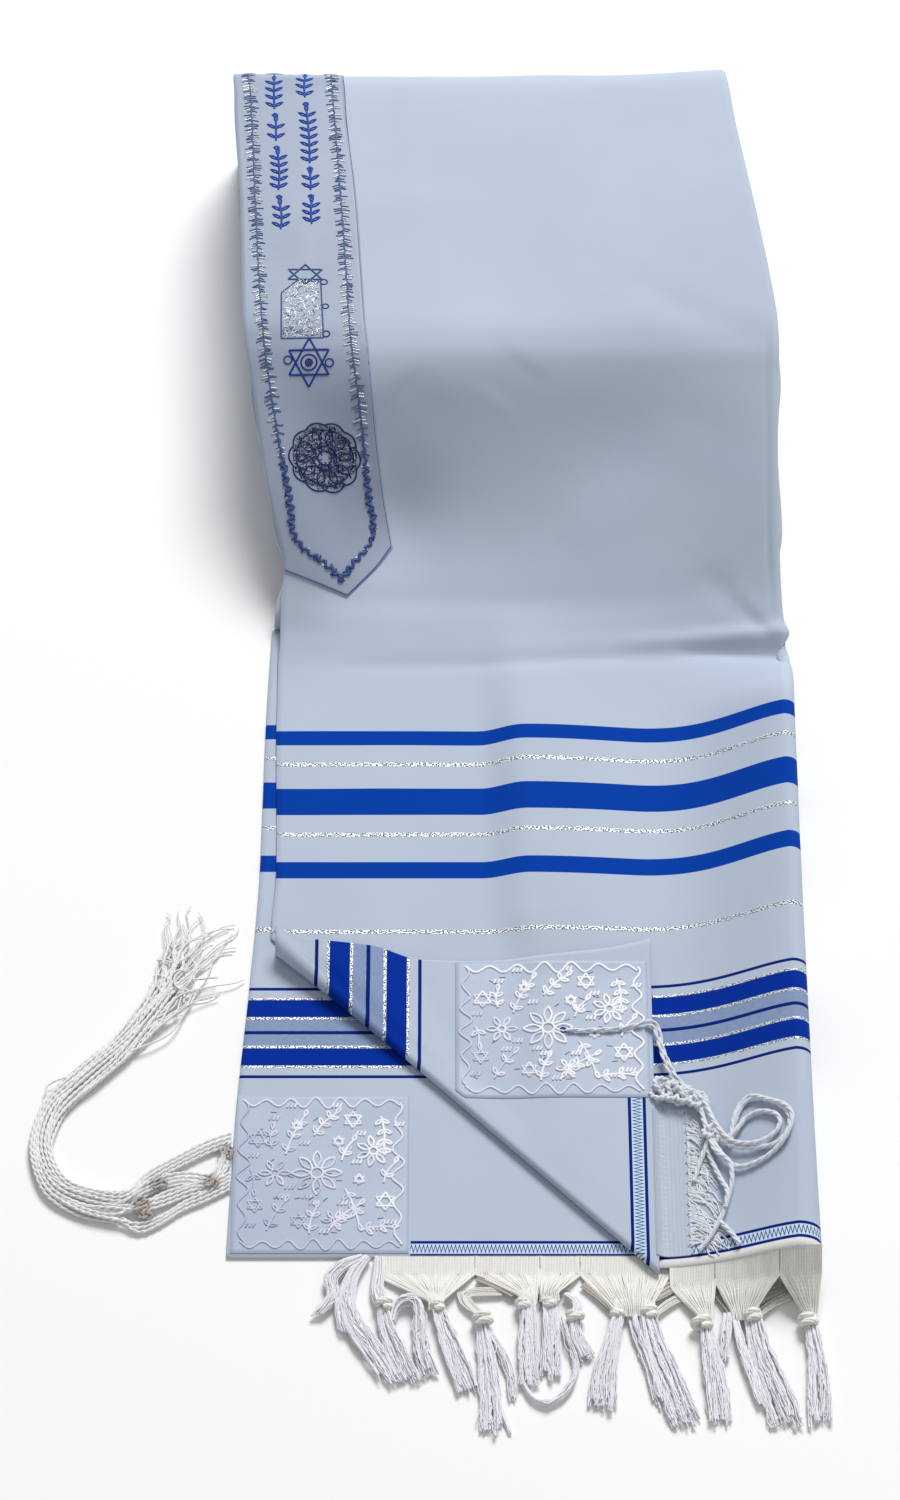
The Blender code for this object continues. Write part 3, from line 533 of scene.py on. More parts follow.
run = {
    # y and z: the line that the cloth follows, with every other column given at the same places
    # left and right: x of its two edges; crest, round, footIn and foot: the puffed fold's height and
    # roundness, how far its under side goes in and how high that ends; band: the neckband's width
    # a column that stops early goes on with its last value
    "y": [-337, -240, -130, -84, 12, 40, 57, 75, 93, 112, 152, 206, 228, 246, 337, 405, 430, 443, 452,
          455, 453, 449],
    "z": [1.7, 1.7, 1.7, 1.7, 1.7, 1.9, 2.5, 6, 14, 25, 48, 75, 84.5, 88, 90, 88, 86.5, 82.5, 73, 60, 30,
          1.2],
    "left": [-98, -98, -98, -96, -98, -98, -98, -97, -97, -95, -105, -114, -118, -120, -124, -129, -130,
             -131],
    "right": [193, 192, 192, 192, 193, 194, 194, 192, 190, 189, 188.5, 189, 190, 189.5, 179, 170, 168,
              167],
    "crest": [26, 29, 30, 32, 31, 20, 10, 6.5, 5, 4],
    "round": [12, 8, 7, 6, 6, 6, 5, 4, 3.5, 3],
    "footIn": [27, 25, 25, 25, 24, 20, 15, 8, 4, 2, 1.5],
    "foot": [-0.85, -0.85, -0.85, -0.85, -0.85, -1.05, -1.55, -1.8, -2, -3, -5.5, -8.5, -9.5, -10, -10,
             -10, -10, -9, -9, -8, -6, -4],
    "band": [61, 61, 61, 61, 61, 61, 61, 61, 61, 62.5, 66, 68.5, 70.5, 70.5, 68.5, 66, 65.5],
}

frontCloth = {
    "wall": 0.6,              # half of the cloth's wall
    "rowStep": 3.0,
    "openColumns": 78,
    "openShare": 0.93,        # of the way to the fold's crest that they take
    "edgeColumns": 13,        # closer ones beside the puffed fold
    "roundColumns": 9,
    "underColumns": 9,
    "foldSum": -228,          # the corner is turned over along x + y = foldSum
    # y, x and height of the low ridge along the flat part, then how far it spreads to each side
    "ridge": [(-337, 60, 1.0), (-160, 55, 1.5), (-110, 45, 6.0), (0, 42, 7.5), (50, 40, 4.0), (90, 40, 0.0)],
    "ridgeSides": (26, 112),
    "restHeight": 0.7,        # of the flat cloth over the run's line
    "riseWidth": 84,          # over which the cloth rises to the puffed fold
    # y, x, depth and spreads along y and x
    "hollows": [(133, -5, 8, 48, 80), (178, 125, 6, 44, 90), (141, 20, 6, 48, 170),
                (219, 18, -3.5, 24, 90), (330, 20, 1, 60, 80), (142, -34, 8.5, 33, 27),
                (211, -48, -2.1, 19, 46), (178, -48, 1.2, 18, 46)],
    "hollowFrom": (2, 14),    # they deepen over this height
    "hollowSide": (6, 34),    # and over this width from the open edge
    "hollowEnd": 430,
    # path points are x and distance along the cloth from its fringed edge
    "creases": [
        {"path": [(-30, 566), (6, 530)], "depth": (1.0, 0.8), "width": (15, 14), "fade": 0.5},
        {"path": [(44, 577), (25, 552)], "depth": (0.8, 0.6), "width": (16, 13)},
        {"path": [(140, 455), (166, 432), (187, 410)], "depth": (0.7, 1.6), "width": (9, 5)},
        {"path": [(160, 444), (176, 427), (189, 412)], "depth": (-0.5, -1.2), "width": (6, 3.5)},
        {"path": [(-95, 392), (40, 395), (114, 401), (200, 402)], "depth": (0.35, 2.3), "width": (4, 7),
         "fade": 0.03},
        {"path": [(124, 404), (156, 402), (198, 398)], "depth": (0.3, 5.8), "width": (3, 8), "fade": 0.06},
        {"path": [(90, 408), (150, 412), (196, 414)], "depth": (-0.6, -2.6), "width": (4, 5), "fade": 0.03},
        {"path": [(184.5, 420), (182.5, 470), (183, 560), (184, 605)], "depth": (1.0, 0.8),
         "width": (1.4, 1.2)},
        {"path": [(60, 470), (120, 500), (150, 540)], "depth": (-0.8, -0.8), "width": (16, 22)},
        {"path": [(95, 640), (150, 600), (190, 585)], "depth": (0.7, 0.9), "width": (12, 9)},
        {"path": [(-110, 650), (-40, 690), (30, 700)], "depth": (-0.7, -0.5), "width": (16, 20)},
        {"path": [(-120, 815), (-40, 806), (60, 812)], "depth": (0.9, 0.6), "width": (7, 9)},
        {"path": [(20, 842), (90, 834), (160, 846)], "depth": (1.0, 1.4), "width": (8, 6)},
        {"path": [(-60, 860), (-30, 835), (-20, 800)], "depth": (0.8, 0.5), "width": (8, 11)},
        {"path": [(60, 872), (110, 860), (165, 866)], "depth": (-0.9, -0.7), "width": (7, 6)},
    ],
    "uneven": (0.35, 70, 11),       # height, length and seed of the gentle waves
    "evenTo": 240,                  # distance from the fringed edge at which they begin
}

places = np.arange(len(run["y"]))
runCurve = {}
for name, column in run.items():
    runCurve[name] = tableCurve(places, column + column[-1:] * (len(places) - len(column)))
dense = np.linspace(0, len(places) - 1, 8001)
denseY, denseZ = runCurve["y"](dense), runCurve["z"](dense)
denseS = np.concatenate([[0], np.cumsum(np.hypot(np.diff(denseY), np.diff(denseZ)))])
runLength = denseS[-1]
beforeFold = 6000           # dense places before the top fold turns down
ridgeKeys, ridgePlaces, ridgeHeights = zip(*frontCloth["ridge"])
ridgeX = tableCurve(ridgeKeys, ridgePlaces)
ridgeHigh = tableCurve(ridgeKeys, ridgeHeights)


def placeAt(s):
    # place in the run's table at a distance from the fringed edge
    return np.interp(s, denseS, dense)


def distanceAt(y):
    # distance along the cloth of a place in front of the top fold
    return np.interp(y, denseY[:beforeFold], denseS[:beforeFold])


def leftEdge(s):
    return float(runCurve["left"](placeAt(s)))


def hollowDepth(x, found):
    deep = np.zeros_like(x)
    for middleY, middleX, depth, long, wide in frontCloth["hollows"]:
        deep = deep + depth * np.exp(-((found["y"] - middleY) / long) ** 2 - ((x - middleX) / wide) ** 2)
    low, over = frontCloth["hollowFrom"]
    side, inside = frontCloth["hollowSide"]
    share = smooth((found["z"] - low) / over) * smooth((x - found["left"] - side) / inside)
    return np.where(found["y"] >= frontCloth["hollowEnd"], 0.0, deep * share)


def foldRise(x, found):
    # share of the puffed fold's height that the cloth has at x
    crestX = found["right"] - found["round"]
    t = np.clip((x - crestX + frontCloth["riseWidth"]) / frontCloth["riseWidth"], 0, 1)
    return 0.5 * smooth(t ** 1.55) + 0.5 * t ** 1.6


def runAt(s):
    at = placeAt(s)
    found = {name: curve(at) for name, curve in runCurve.items()}
    aheadY = runCurve["y"](at + 0.05) - runCurve["y"](at - 0.05)
    aheadZ = runCurve["z"](at + 0.05) - runCurve["z"](at - 0.05)
    size = np.hypot(aheadY, aheadZ)
    found["outY"] = -aheadZ / size
    found["outZ"] = aheadY / size
    return found


def frontHeight(x, found):
    y = found["y"]
    across = x - ridgeX(y)
    side = np.where(across < 0, frontCloth["ridgeSides"][0], frontCloth["ridgeSides"][1])
    ridge = ridgeHigh(y) * (1 - smooth(np.abs(across) / side))
    rise = foldRise(x, found)
    rest = frontCloth["restHeight"] + ridge - hollowDepth(x, found)
    return rest * (1 - rise) + found["crest"] * rise


def makeFrontSurface():
    cloth = frontCloth
    count = int(runLength / cloth["rowStep"]) + 1
    s = np.linspace(0, runLength, count)
    found = {name: column[:, None] for name, column in runAt(s).items()}
    fullLeft = found["left"]
    left = np.maximum(fullLeft, cloth["foldSum"] - found["y"])
    crestX = found["right"] - found["round"]
    share = np.linspace(0, cloth["openShare"], cloth["openColumns"])
    edgeShare = np.linspace(cloth["openShare"], 1, cloth["edgeColumns"] + 1)[1:]
    share = np.concatenate([share, edgeShare])[None, :]
    openX = left + (crestX - left) * share
    openHigh = frontHeight(openX, found)
    turn = pi / 2 * np.arange(1, cloth["roundColumns"] + 1)[None, :] / cloth["roundColumns"]
    roundX = crestX + found["round"] * np.sin(turn)
    drop = 0.95 * found["round"]
    roundHigh = found["crest"] - drop * (1 - np.cos(turn))
    t = np.arange(1, cloth["underColumns"] + 1)[None, :] / cloth["underColumns"]
    inwards = 1.05 * t * t * (1 - t) + t ** 3
    down = 1.5 * t * (1 - t) ** 2 + 3 * t * t * (1 - t) + t ** 3
    high = found["crest"] - drop
    underX = found["right"] - found["footIn"] * inwards
    underHigh = high + (found["foot"] - high) * down
    x = np.concatenate([openX, roundX, underX], axis=1)
    height = np.concatenate([openHigh, roundHigh, underHigh], axis=1)
    points = np.stack([x, found["y"] + found["outY"] * height, found["z"] + found["outZ"] * height], axis=2)
    across = x - fullLeft
    edge = np.cumsum(np.hypot(np.diff(x, axis=1), np.diff(height, axis=1)), axis=1)
    start = cloth["openColumns"] + cloth["edgeColumns"] - 1
    across[:, start + 1:] = across[:, start:start + 1] + edge[:, start:] - edge[:, start - 1:start]
    along = np.repeat(s[:, None], x.shape[1], axis=1)
    flatX = across + fullLeft
    deep = creaseDepth(flatX, along, cloth["creases"])
    height, scale, seed = cloth["uneven"]
    waves = height * ripple(flatX, along, scale, seed) * smooth((along - cloth["evenTo"]) / 60)
    fade = 1 - smooth((np.arange(x.shape[1]) - start - cloth["roundColumns"]) / 6)[None, :] * 0.7
    points += gridNormals(points) * ((waves - deep) * fade)[:, :, None]
    return Surface(points, across, s), along


frontSurface, frontAlong = makeFrontSurface()
frontUv = np.stack([frontSurface.across, frontAlong], axis=2)
clothWall = (-frontCloth["wall"], frontCloth["wall"])
frontPiece = wallMesh("frontLayer", frontSurface.points, frontUv, *clothWall, frontFinish)


def frontAt(x, s, lift=0.0):
    return frontSurface.at(x - leftEdge(s), s, lift)


print("front layer made")


# the back layer, flat on the floor

backCloth = {
    "hem": -329,
    "end": 84,
    "gap": 0.3,               # left beside the puffed fold's under side
    "left": [(-329, -117), (-239, -114), (-162, -109), (-83, -105), (13, -104), (84, -102)],     # y, x
    "middle": 0.7,            # height of its middle
    "rows": 124,
    "columns": 84,
    "creases": [
        {"path": [(-112, -238), (-60, -250), (-10, -244)], "depth": (0.35, 0.25), "width": (5, 4)},
        {"path": [(-70, -327), (-68, -300), (-66, -262)], "depth": (-0.5, -0.3), "width": (3, 4)},
    ],
}


def makeBackSurface():
    cloth = backCloth
    y = np.linspace(cloth["hem"], cloth["end"], cloth["rows"])
    left = tableCurve(*zip(*cloth["left"]))(y)[:, None]
    found = runAt(distanceAt(y))
    right = (found["right"] - found["footIn"] - cloth["gap"])[:, None]
    share = np.linspace(0, 1, cloth["columns"])[None, :]
    x = left * (1 - share) + right * share
    along = np.repeat(y[:, None], x.shape[1], axis=1)
    height = cloth["middle"] - np.clip(creaseDepth(x, along, cloth["creases"]), -1, 0.1)
    return Surface(np.stack([x, along, height], axis=2), x - left, y), along


backSurface, backAlong = makeBackSurface()
# its stripes lie a little lower than the front layer's
backShift = 4.4 + 3.1 * smooth((backAlong + 325) / 40) - 5.0 * smooth((backAlong + 150) / 60)
backUv = np.stack([backSurface.across, backAlong - backCloth["hem"] + backShift], axis=2)
backPiece = wallMesh("backLayer", backSurface.points, backUv, *clothWall, backFinish)


def backAt(x, y, lift=0.0):
    return backSurface.at(x - np.interp(y, *zip(*backCloth["left"])), y, lift)


print("back layer made")


# the turned corner, rolled over along a diagonal

turnedCloth = {
    # x across, y of its selvedge, radius of its roll, rise of its cloth over the front layer
    "edge": [(-95, -130, 6.5, 11), (-86, -135, 6.0, 11), (-76, -138, 5.0, 10), (-43, -140, 3.2, 6),
             (-16, -147, 2.4, 2.5), (10, -147, 2.2, 1.2), (80, -141, 2.2, 1.5), (109, -134, 2.2, 1.5)],
    "hem": 109,
    "columns": 84,
    "rollRows": 14,
    "flatRows": 66,
    "low": 2.4,               # its middle over the floor at the roll, and over the front layer beyond it
    "fall": 22,               # width over which it comes down from the roll
    "creases": [
        {"path": [(-88, -138), (-60, -156), (-30, -186), (0, -216)], "depth": (-0.6, -0.3), "width": (5, 4)},
        {"path": [(-20, -150), (-4, -190), (14, -226)], "depth": (0.35, 0.25), "width": (6, 5)},
    ],
}


def frontHeightAt(x, y):
    found = runAt(distanceAt(y))
    return found["z"] + frontHeight(x, found)


def makeTurnedSurface():
    cloth = turnedCloth
    keys, *columns = zip(*cloth["edge"])
    x = np.linspace(keys[0], cloth["hem"], cloth["columns"])
    top, roll, rise = (tableCurve(keys, column)(x) for column in columns)
    fold = frontCloth["foldSum"] - x - 0.3 * math.sqrt(2)
    low = cloth["low"]
    rows = []
    for i in range(cloth["rollRows"] + 1):
        turn = pi * i / cloth["rollRows"]
        y = fold - math.sqrt(2) * roll * math.sin(turn)
        rows.append(np.stack([x, y, low + roll * (1 - math.cos(turn))], axis=1))
    for i in range(1, cloth["flatRows"] + 1):
        t = i / cloth["flatRows"]
        y = fold + (top - fold) * t
        rest = frontHeightAt(x, y) + low + rise
        share = smooth(t * (top - fold) / cloth["fall"])
        rows.append(np.stack([x, y, low + 2 * roll + (rest - low - 2 * roll) * share], axis=1))
    points = np.array(rows)
    deep = creaseDepth(points[:, :, 0], points[:, :, 1], cloth["creases"])
    settled = smooth((np.arange(len(rows)) - cloth["rollRows"]) / 12)
    points[:, :, 2] -= deep * settled[:, None]
    return points


turnedPoints = makeTurnedSurface()
hemDistance = turnedCloth["hem"] - turnedPoints[:, :, 0]
turnedShift = 7.0 * smooth((hemDistance - 40) / 50)
turnedUv = np.stack([turnedPoints[:, :, 1] + 300, hemDistance - turnedShift], axis=2)
turnedPiece = wallMesh("turnedCorner", turnedPoints, turnedUv, *clothWall, turnedFinish)
turnedTop = turnedPoints[turnedCloth["rollRows"]:]


def turnedAt(x, y, lift=0.0):
    # flat part of the turned corner: columns run along y
    left, part = placeBetween(x, turnedTop[0, :, 0])
    column = turnedTop[:, left] * (1 - part) + turnedTop[:, left + 1] * part
    z = np.interp(y, column[:, 1], column[:, 2])
    return np.array([x, y, z + lift]), np.array([0.0, 0.0, 1.0])


print("turned corner made")


# the hidden half, folded under the front layer

stack = {
    "start": 88,              # y of its first row on the run
    "startEnd": 84,           # y of its low end, and how high that is
    "startHeight": 5.5,
    "minHeight": 6.0,         # of every section after it
    "under": 1.5,             # below the front layer
    # how far each layer's edge lies in from the left and the right
    "lips": [(5, 3), (1.5, -3), (4, 1), (1, -3.5), (3, -1), (4, 4.5)],
    "lipPoints": 8,
    "groove": 3.5,            # depth between the layers
    "sections": 110,
    "acrossColumns": 24,
    "feet": [414, 424, 432, 438, 442, 444],      # y of its foot at the last places of the run
    "waver": 0.8,             # how much each folded edge wanders, mm
}


def stackSection(found, topY, topZ, footY):
    look = stack
    lift = math.hypot(topY - footY, topZ)
    groove = min(look["groove"], lift * 0.12)
    loose = smooth((lift - 15) / 25) * smooth((440 - topY) / 20)
    startOut = 4 * (1 - smooth((topY - look["startEnd"]) / 32))
    leftSide, rightSide = [], []
    for i, (leftIn, rightIn) in enumerate(look["lips"]):
        leftX = found["left"] + leftIn * loose - startOut
        rightX = found["right"] - 5.5 - (rightIn - 5.5) * loose
        waver = look["waver"] * loose
        leftX += waver * math.sin(topY / 23 + i * 2.1 + topZ / 17)
        rightX += waver * math.sin(topY / 27 + i * 1.7 + 1 + topZ / 15)
        for k in range(look["lipPoints"]):
            part = k / look["lipPoints"]
            bulge = math.sin(pi * part) ** 0.4
            fine = 0.35 * math.exp(-((part - 0.5) / 0.09) ** 2)     # two layers show in each lip
            cut = groove * (1 - 0.85 * bulge + fine * min(1.0, bulge))
            if i == 0 and k == 0:
                cut = groove * 0.3
            share = (i + part) / len(look["lips"])
            y = footY + (topY - footY) * share
            leftSide.append((leftX + cut, y, topZ * share))
            rightSide.append((rightX - cut, y, topZ * share))
    leftTop, rightTop = found["left"] + 6, found["right"] - 7
    across = []
    for x in np.linspace(leftTop, rightTop, look["acrossColumns"] + 1):
        sunk = float(hollowDepth(x, found) * (1 - foldRise(x, found)))
        under = look["under"] + (sunk if sunk > 0 else 0.6 * sunk)
        across.append((x, topY - found["outY"] * under, topZ - found["outZ"] * under))
    return leftSide + across + rightSide[::-1]


def makeStack():
    look = stack
    footCurve = tableCurve(places, run["y"][:-len(look["feet"])] + look["feet"])
    start = distanceAt(look["start"])
    endY = look["startEnd"] + 0.3
    sections = [stackSection(runAt(start), endY, look["startHeight"], endY)]
    for s in np.linspace(start, runLength, look["sections"]):
        found = runAt(s)
        high = max(found["z"], look["minHeight"])
        sections.append(stackSection(found, found["y"], high, footCurve(placeAt(s))))
    grid = np.array(sections)
    rows, columns, _ = grid.shape
    body = bmesh.new()
    vertices = [body.verts.new(point) for point in toFrame(grid.reshape(-1, 3))]
    for i in range(rows - 1):
        for k in range(columns):
            corners = (i, k), (i, (k + 1) % columns), (i + 1, (k + 1) % columns), (i + 1, k)
            body.faces.new([vertices[row * columns + column] for row, column in corners])
    for ring in (vertices[:columns], vertices[-columns:]):
        body.faces.new(ring)
    bmesh.ops.recalc_face_normals(body, faces=body.faces[:])
    layer = body.loops.layers.uv.new("clothUV")
    for face in body.faces:
        for loop in face.loops:
            loop[layer].uv = (loop.vert.co.y, 0.5 + loop.vert.co.z)
    bmesh.ops.triangulate(body, faces=[face for face in body.faces if len(face.verts) > 4])
    mesh = bpy.data.meshes.new("hiddenLayers")
    body.to_mesh(mesh)
    body.free()
    mesh.shade_smooth()
    mesh.set_sharp_from_angle(angle=math.radians(60))
    return linkMesh("hiddenLayers", mesh, frontFinish)


stackPiece = makeStack()
print("hidden layers made")


# neckband and corner patches: satin trims just above their cloth

neckband = {
    "tip": 0.61,               # share of its width at which its end is pointed
    "start": [(0, 451), (0.03, 450.5), (0.61, 437), (1, 467)],     # its end: share across, distance
    "rows": 230,
    "columns": 31,
    "lift": (0.62, 1.35),      # its two faces over the cloth's middle
}
patches = {
    # lowest and highest x, lowest and highest y
    "back": (patchStart[0], -22, patchStart[1], -230),
    "front": (3, 107, -235, -148),
    "columns": 40,
    "lift": (0.62, 1.05),
}


def bandWidth(s):
    return float(runCurve["band"](placeAt(s)))


def makeNeckband():
    look = neckband
    shares = np.unique(np.concatenate([np.linspace(0, 1, look["columns"]), [look["tip"]]]))
    points = np.zeros((look["rows"], len(shares), 3))
    normals = np.zeros_like(points)
    uv = np.zeros((look["rows"], len(shares), 2))
    for i in range(look["rows"]):
        t = i / (look["rows"] - 1)
        for j, share in enumerate(shares):
            start = float(np.interp(share, *zip(*look["start"])))
            s = start + (runLength - 1.0 - start) * t
            uv[i, j] = (share * bandWidth(s), s)
            points[i, j], normals[i, j] = frontSurface.at(*uv[i, j])
    return wallMesh("neckbandSatin", points, uv, *look["lift"], bandFinish, 0.25, normals)


bandPiece = makeNeckband()


def makePatch(name, rectangle, at, aboveFold=False):
    left, right, low, high = rectangle
    count = patches["columns"]
    points = np.zeros((count, count, 3))
    normals = np.zeros_like(points)
    uv = np.zeros((count, count, 2))
    for i in range(count):
        for j in range(count):
            x = left + (right - left) * j / (count - 1)
            bottom = max(low, frontCloth["foldSum"] - x + 0.7) if aboveFold else low
            y = bottom + (high - bottom) * i / (count - 1)
            points[i, j], normals[i, j] = at(x, y)
            uv[i, j] = (x, y + 400)
    return wallMesh(name, points, uv, *patches["lift"], patchFinish, 0.2, normals)


backPatch = makePatch("backPatch", patches["back"], backAt)
frontPatch = makePatch("frontPatch", patches["front"], turnedAt, True)
print("neckband and patches made")


# yarn: threads swept along given lines by geometry nodes

yarnLook = {
    # light yarn, yarn in painted shade deep in a bundle, length of one turn of its plies
    "fringeYarn": (srgb(244, 243, 239), srgb(204, 200, 191), 0.0022),
    "tasselYarn": (srgb(246, 245, 250), srgb(196, 194, 206), 0.0026),
    "stringYarn": (srgb(242, 242, 243), srgb(190, 188, 190), 0.0030),
    "softYarn": (srgb(220, 224, 231), srgb(209, 214, 222), 0.0030),
    "stripYarn": (srgb(196, 206, 220), srgb(182, 193, 208), 0.0022),
}
brownTintColour = srgb(134, 116, 92)


def makeYarnFinish(name):
    # shade 0 is light yarn, 1 is painted shade of yarn deep in a bundle; the brown tint mixes in a brownish
    # colour
    light, deep, twist = yarnLook[name]
    made = Finish(name, Roughness=0.85, Sheen_Weight=0.15, Sheen_Roughness=0.4, Specular_IOR_Level=0.2)
    fluff = made.noise(made.place(), 0.9, 3.0)
    ply = (made.own("along") * (2 * pi / twist) + made.own("around") * (4 * pi)).math("SINE") * 0.5 + 0.5
    # the grooves between plies get a little painted shade
    colour = made.mix(made.own("shade") * 0.75 + fluff * 0.2 + (1 - ply) * 0.06, light, deep)
    made.set("Base Color", made.mix(made.own("brownTint"), colour, brownTintColour))
    made.bump(ply * 0.6 + fluff * 0.5, 0.35, 0.00022)
    return made.material


yarn = {name: makeYarnFinish(name) for name in yarnLook}


class GeoBoard(Board):
    # A geometry node group with named inputs; ends in Realize Instances and Set Material.
    def __init__(self, name, inputs):
        super().__init__(bpy.data.node_groups.new(name, "GeometryNodeTree"))
        face = self.tree.interface
        face.new_socket("Geometry", in_out="OUTPUT", socket_type="NodeSocketGeometry")
        for label, (kind, value) in {"Geometry": ("Geometry", None), **inputs}.items():
            made = face.new_socket(label, in_out="INPUT", socket_type="NodeSocket" + kind)
            if value is not None:
                made.default_value = value
        self.source = self.tree.nodes.new("NodeGroupInput")
        self.result = self.tree.nodes.new("NodeGroupOutput")

    def given(self, label):
        return Wire(self, self.source.outputs[label])

    def named(self, name):
        settings = {"data_type": "FLOAT"}
        return self.node("GeometryNodeInputNamedAttribute", settings, {"Name": name}, "Attribute")

    def keep(self, geometry, name, value):
        settings = {"data_type": "FLOAT", "domain": "POINT"}
        values = {"Geometry": geometry, "Name": name, "Value": value}
        return self.node("GeometryNodeStoreNamedAttribute", settings, values, "Geometry")

    def finish(self, geometry):
        whole = self.node("GeometryNodeRealizeInstances", {}, {"Geometry": geometry}, "Geometry")
        values = {"Geometry": whole, "Material": self.given("finish")}
        dressed = self.node("GeometryNodeSetMaterial", {}, values, "Geometry")
        self.tree.links.new(dressed.socket, self.result.inputs[0])
        return self.tree


def makeThreadTree():
    # each line becomes a tube, and wobble moves the loose ones
    board = GeoBoard("threadTree", {
        "sides": ("Int", 5),
        "spacing": ("Float", 0.004),
        "wobble": ("Float", 0.0),
        "wobbleScale": ("Float", 60.0),
        "seed": ("Float", 3.0),
        "finish": ("Material", None),
    })
    lines = board.node("GeometryNodeMeshToCurve", {}, {"Mesh": board.given("Geometry")}, "Curve")
    values = {"Curve": lines, "Length": board.given("spacing")}
    lines = board.node("GeometryNodeResampleCurve", {"mode": "LENGTH"}, values, "Curve")
    place = board.node("GeometryNodeInputPosition", {}, {}, "Position")
    shifted = board.vector("ADD", place, board.join(board.named("strand"), board.given("seed")))
    values = {"Vector": shifted, "Scale": board.given("wobbleScale"), "Detail": 1.0}
    noise = board.node("ShaderNodeTexNoise", {}, values, "Color")
    away = board.vector("SUBTRACT", noise, (0.5, 0.5, 0.5))
    away = board.vector("MULTIPLY", away, (1.0, 1.0, 0.3))
    away = board.vector("SCALE", away, board.named("free") * board.given("wobble"))
    lines = board.node("GeometryNodeSetPosition", {}, {"Geometry": lines, "Offset": away}, "Geometry")
    lines = board.keep(lines, "along", board.node("GeometryNodeSplineParameter", {}, {}, "Length"))
    values = {"Resolution": board.given("sides"), "Radius": 1.0}
    ring = board.node("GeometryNodeCurvePrimitiveCircle", {"mode": "RADIUS"}, values, "Curve")
    ring = board.keep(ring, "around", board.node("GeometryNodeSplineParameter", {}, {}, "Factor"))
    values = {"Curve": lines, "Profile Curve": ring, "Scale": board.named("radius"), "Fill Caps": True}
    tubes = board.node("GeometryNodeCurveToMesh", {}, values, "Mesh")
    return board.finish(board.node("GeometryNodeSetShadeSmooth", {}, {"Geometry": tubes}, "Geometry"))


threadTree = makeThreadTree()


def makeThreads(name, mesh, values):
    # runs the thread tree on a mesh of lines and keeps the plain result
    holder = linkMesh(name + "Lines", mesh)
    modifier = holder.modifiers.new("nodes", "NODES")
    modifier.node_group = threadTree
    for item in threadTree.interface.items_tree:
        if item.in_out == "INPUT" and item.name in values:
            modifier[item.identifier] = values[item.name]
    graph = bpy.context.evaluated_depsgraph_get()
    plain = bpy.data.meshes.new_from_object(holder.evaluated_get(graph), depsgraph=graph)
    holder.modifiers.remove(modifier)
    bpy.data.objects.remove(holder)
    plain.name = name
    return linkMesh(name, plain)


class Lines:
    # Lines with a radius, shade, brown tint and looseness at each point.
    def __init__(self):
        self.points = []
        self.edges = []
        self.facts = {"radius": [], "shade": [], "brownTint": [], "free": [], "strand": []}

    def add(self, points, radius, shade=0.0, brownTint=0.0, free=0.0):
        first = len(self.points)
        count = len(points)
        strand = (first * 0.137) % 7.0      # sets the noise of one thread apart from the next
        for name, value in zip(self.facts, (radius, shade, brownTint, free, strand)):
            self.facts[name].extend(np.broadcast_to(value, count).tolist())
        self.points.extend([list(point) for point in points])
        self.edges.extend([(first + k, first + k + 1) for k in range(count - 1)])

    def sweep(self, name, finish, **values):
        mesh = bpy.data.meshes.new(name + "Lines")
        mesh.from_pydata(toFrame(self.points), self.edges, [])
        for label, column in self.facts.items():
            scaled = np.array(column) * (mm if label == "radius" else 1.0)
            mesh.attributes.new(label, "FLOAT", "POINT").data.foreach_set("value", scaled)
        return makeThreads(name, mesh, {**values, "finish": finish})


def curveThrough(points, count):
    # evenly spaced points on a smooth curve through given points; further columns go along
    points = np.asarray(points, float)
    last = len(points) - 1
    fine = []
    for i in range(last):
        a, b, c, d = (points[min(max(k, 0), last)] for k in range(i - 1, i + 3))
        square = 2 * a - 5 * b + 4 * c - d
        cube = 3 * b - a - 3 * c + d
        for t in np.arange(10) / 10:
            fine.append(0.5 * (2 * b + (c - a) * t + square * t * t + cube * t ** 3))
    fine = np.array([*fine, points[-1]])
    lengths = lengthsAlong(fine[:, :3])
    wanted = np.linspace(0, lengths[-1], count)
    return np.stack([np.interp(wanted, lengths, column) for column in fine.T], axis=1)


def sideways(route):
    # unit vectors to the left of a route seen from above
    ahead = unit(np.gradient(route[:, :2], axis=0))
    return np.stack([-ahead[:, 1], ahead[:, 0], np.zeros(len(route))], axis=1)


def frameOf(ahead):
    # a level direction as a unit vector, and the one to its left
    ahead = unit(np.array([ahead[0], ahead[1], 0.0]))
    return ahead, np.array([-ahead[1], ahead[0], 0.0])


def winding(path, turn, radius, first, second):
    # a line wound round a path, on circles between two directions across it
    return path + first * (np.cos(turn) * radius)[:, None] + second * (np.sin(turn) * radius)[:, None]


bundleLook = {
    "radius": 0.4,
    "steps": 22,
    "strandsPerClump": 6,
    "thick": (2.0, 1.3),      # half of the bundle's thickness at its start and its end
    "floor": 0.6,             # lowest height of a strand's middle
    "ragged": 0.10,           # share by which strands end early
}


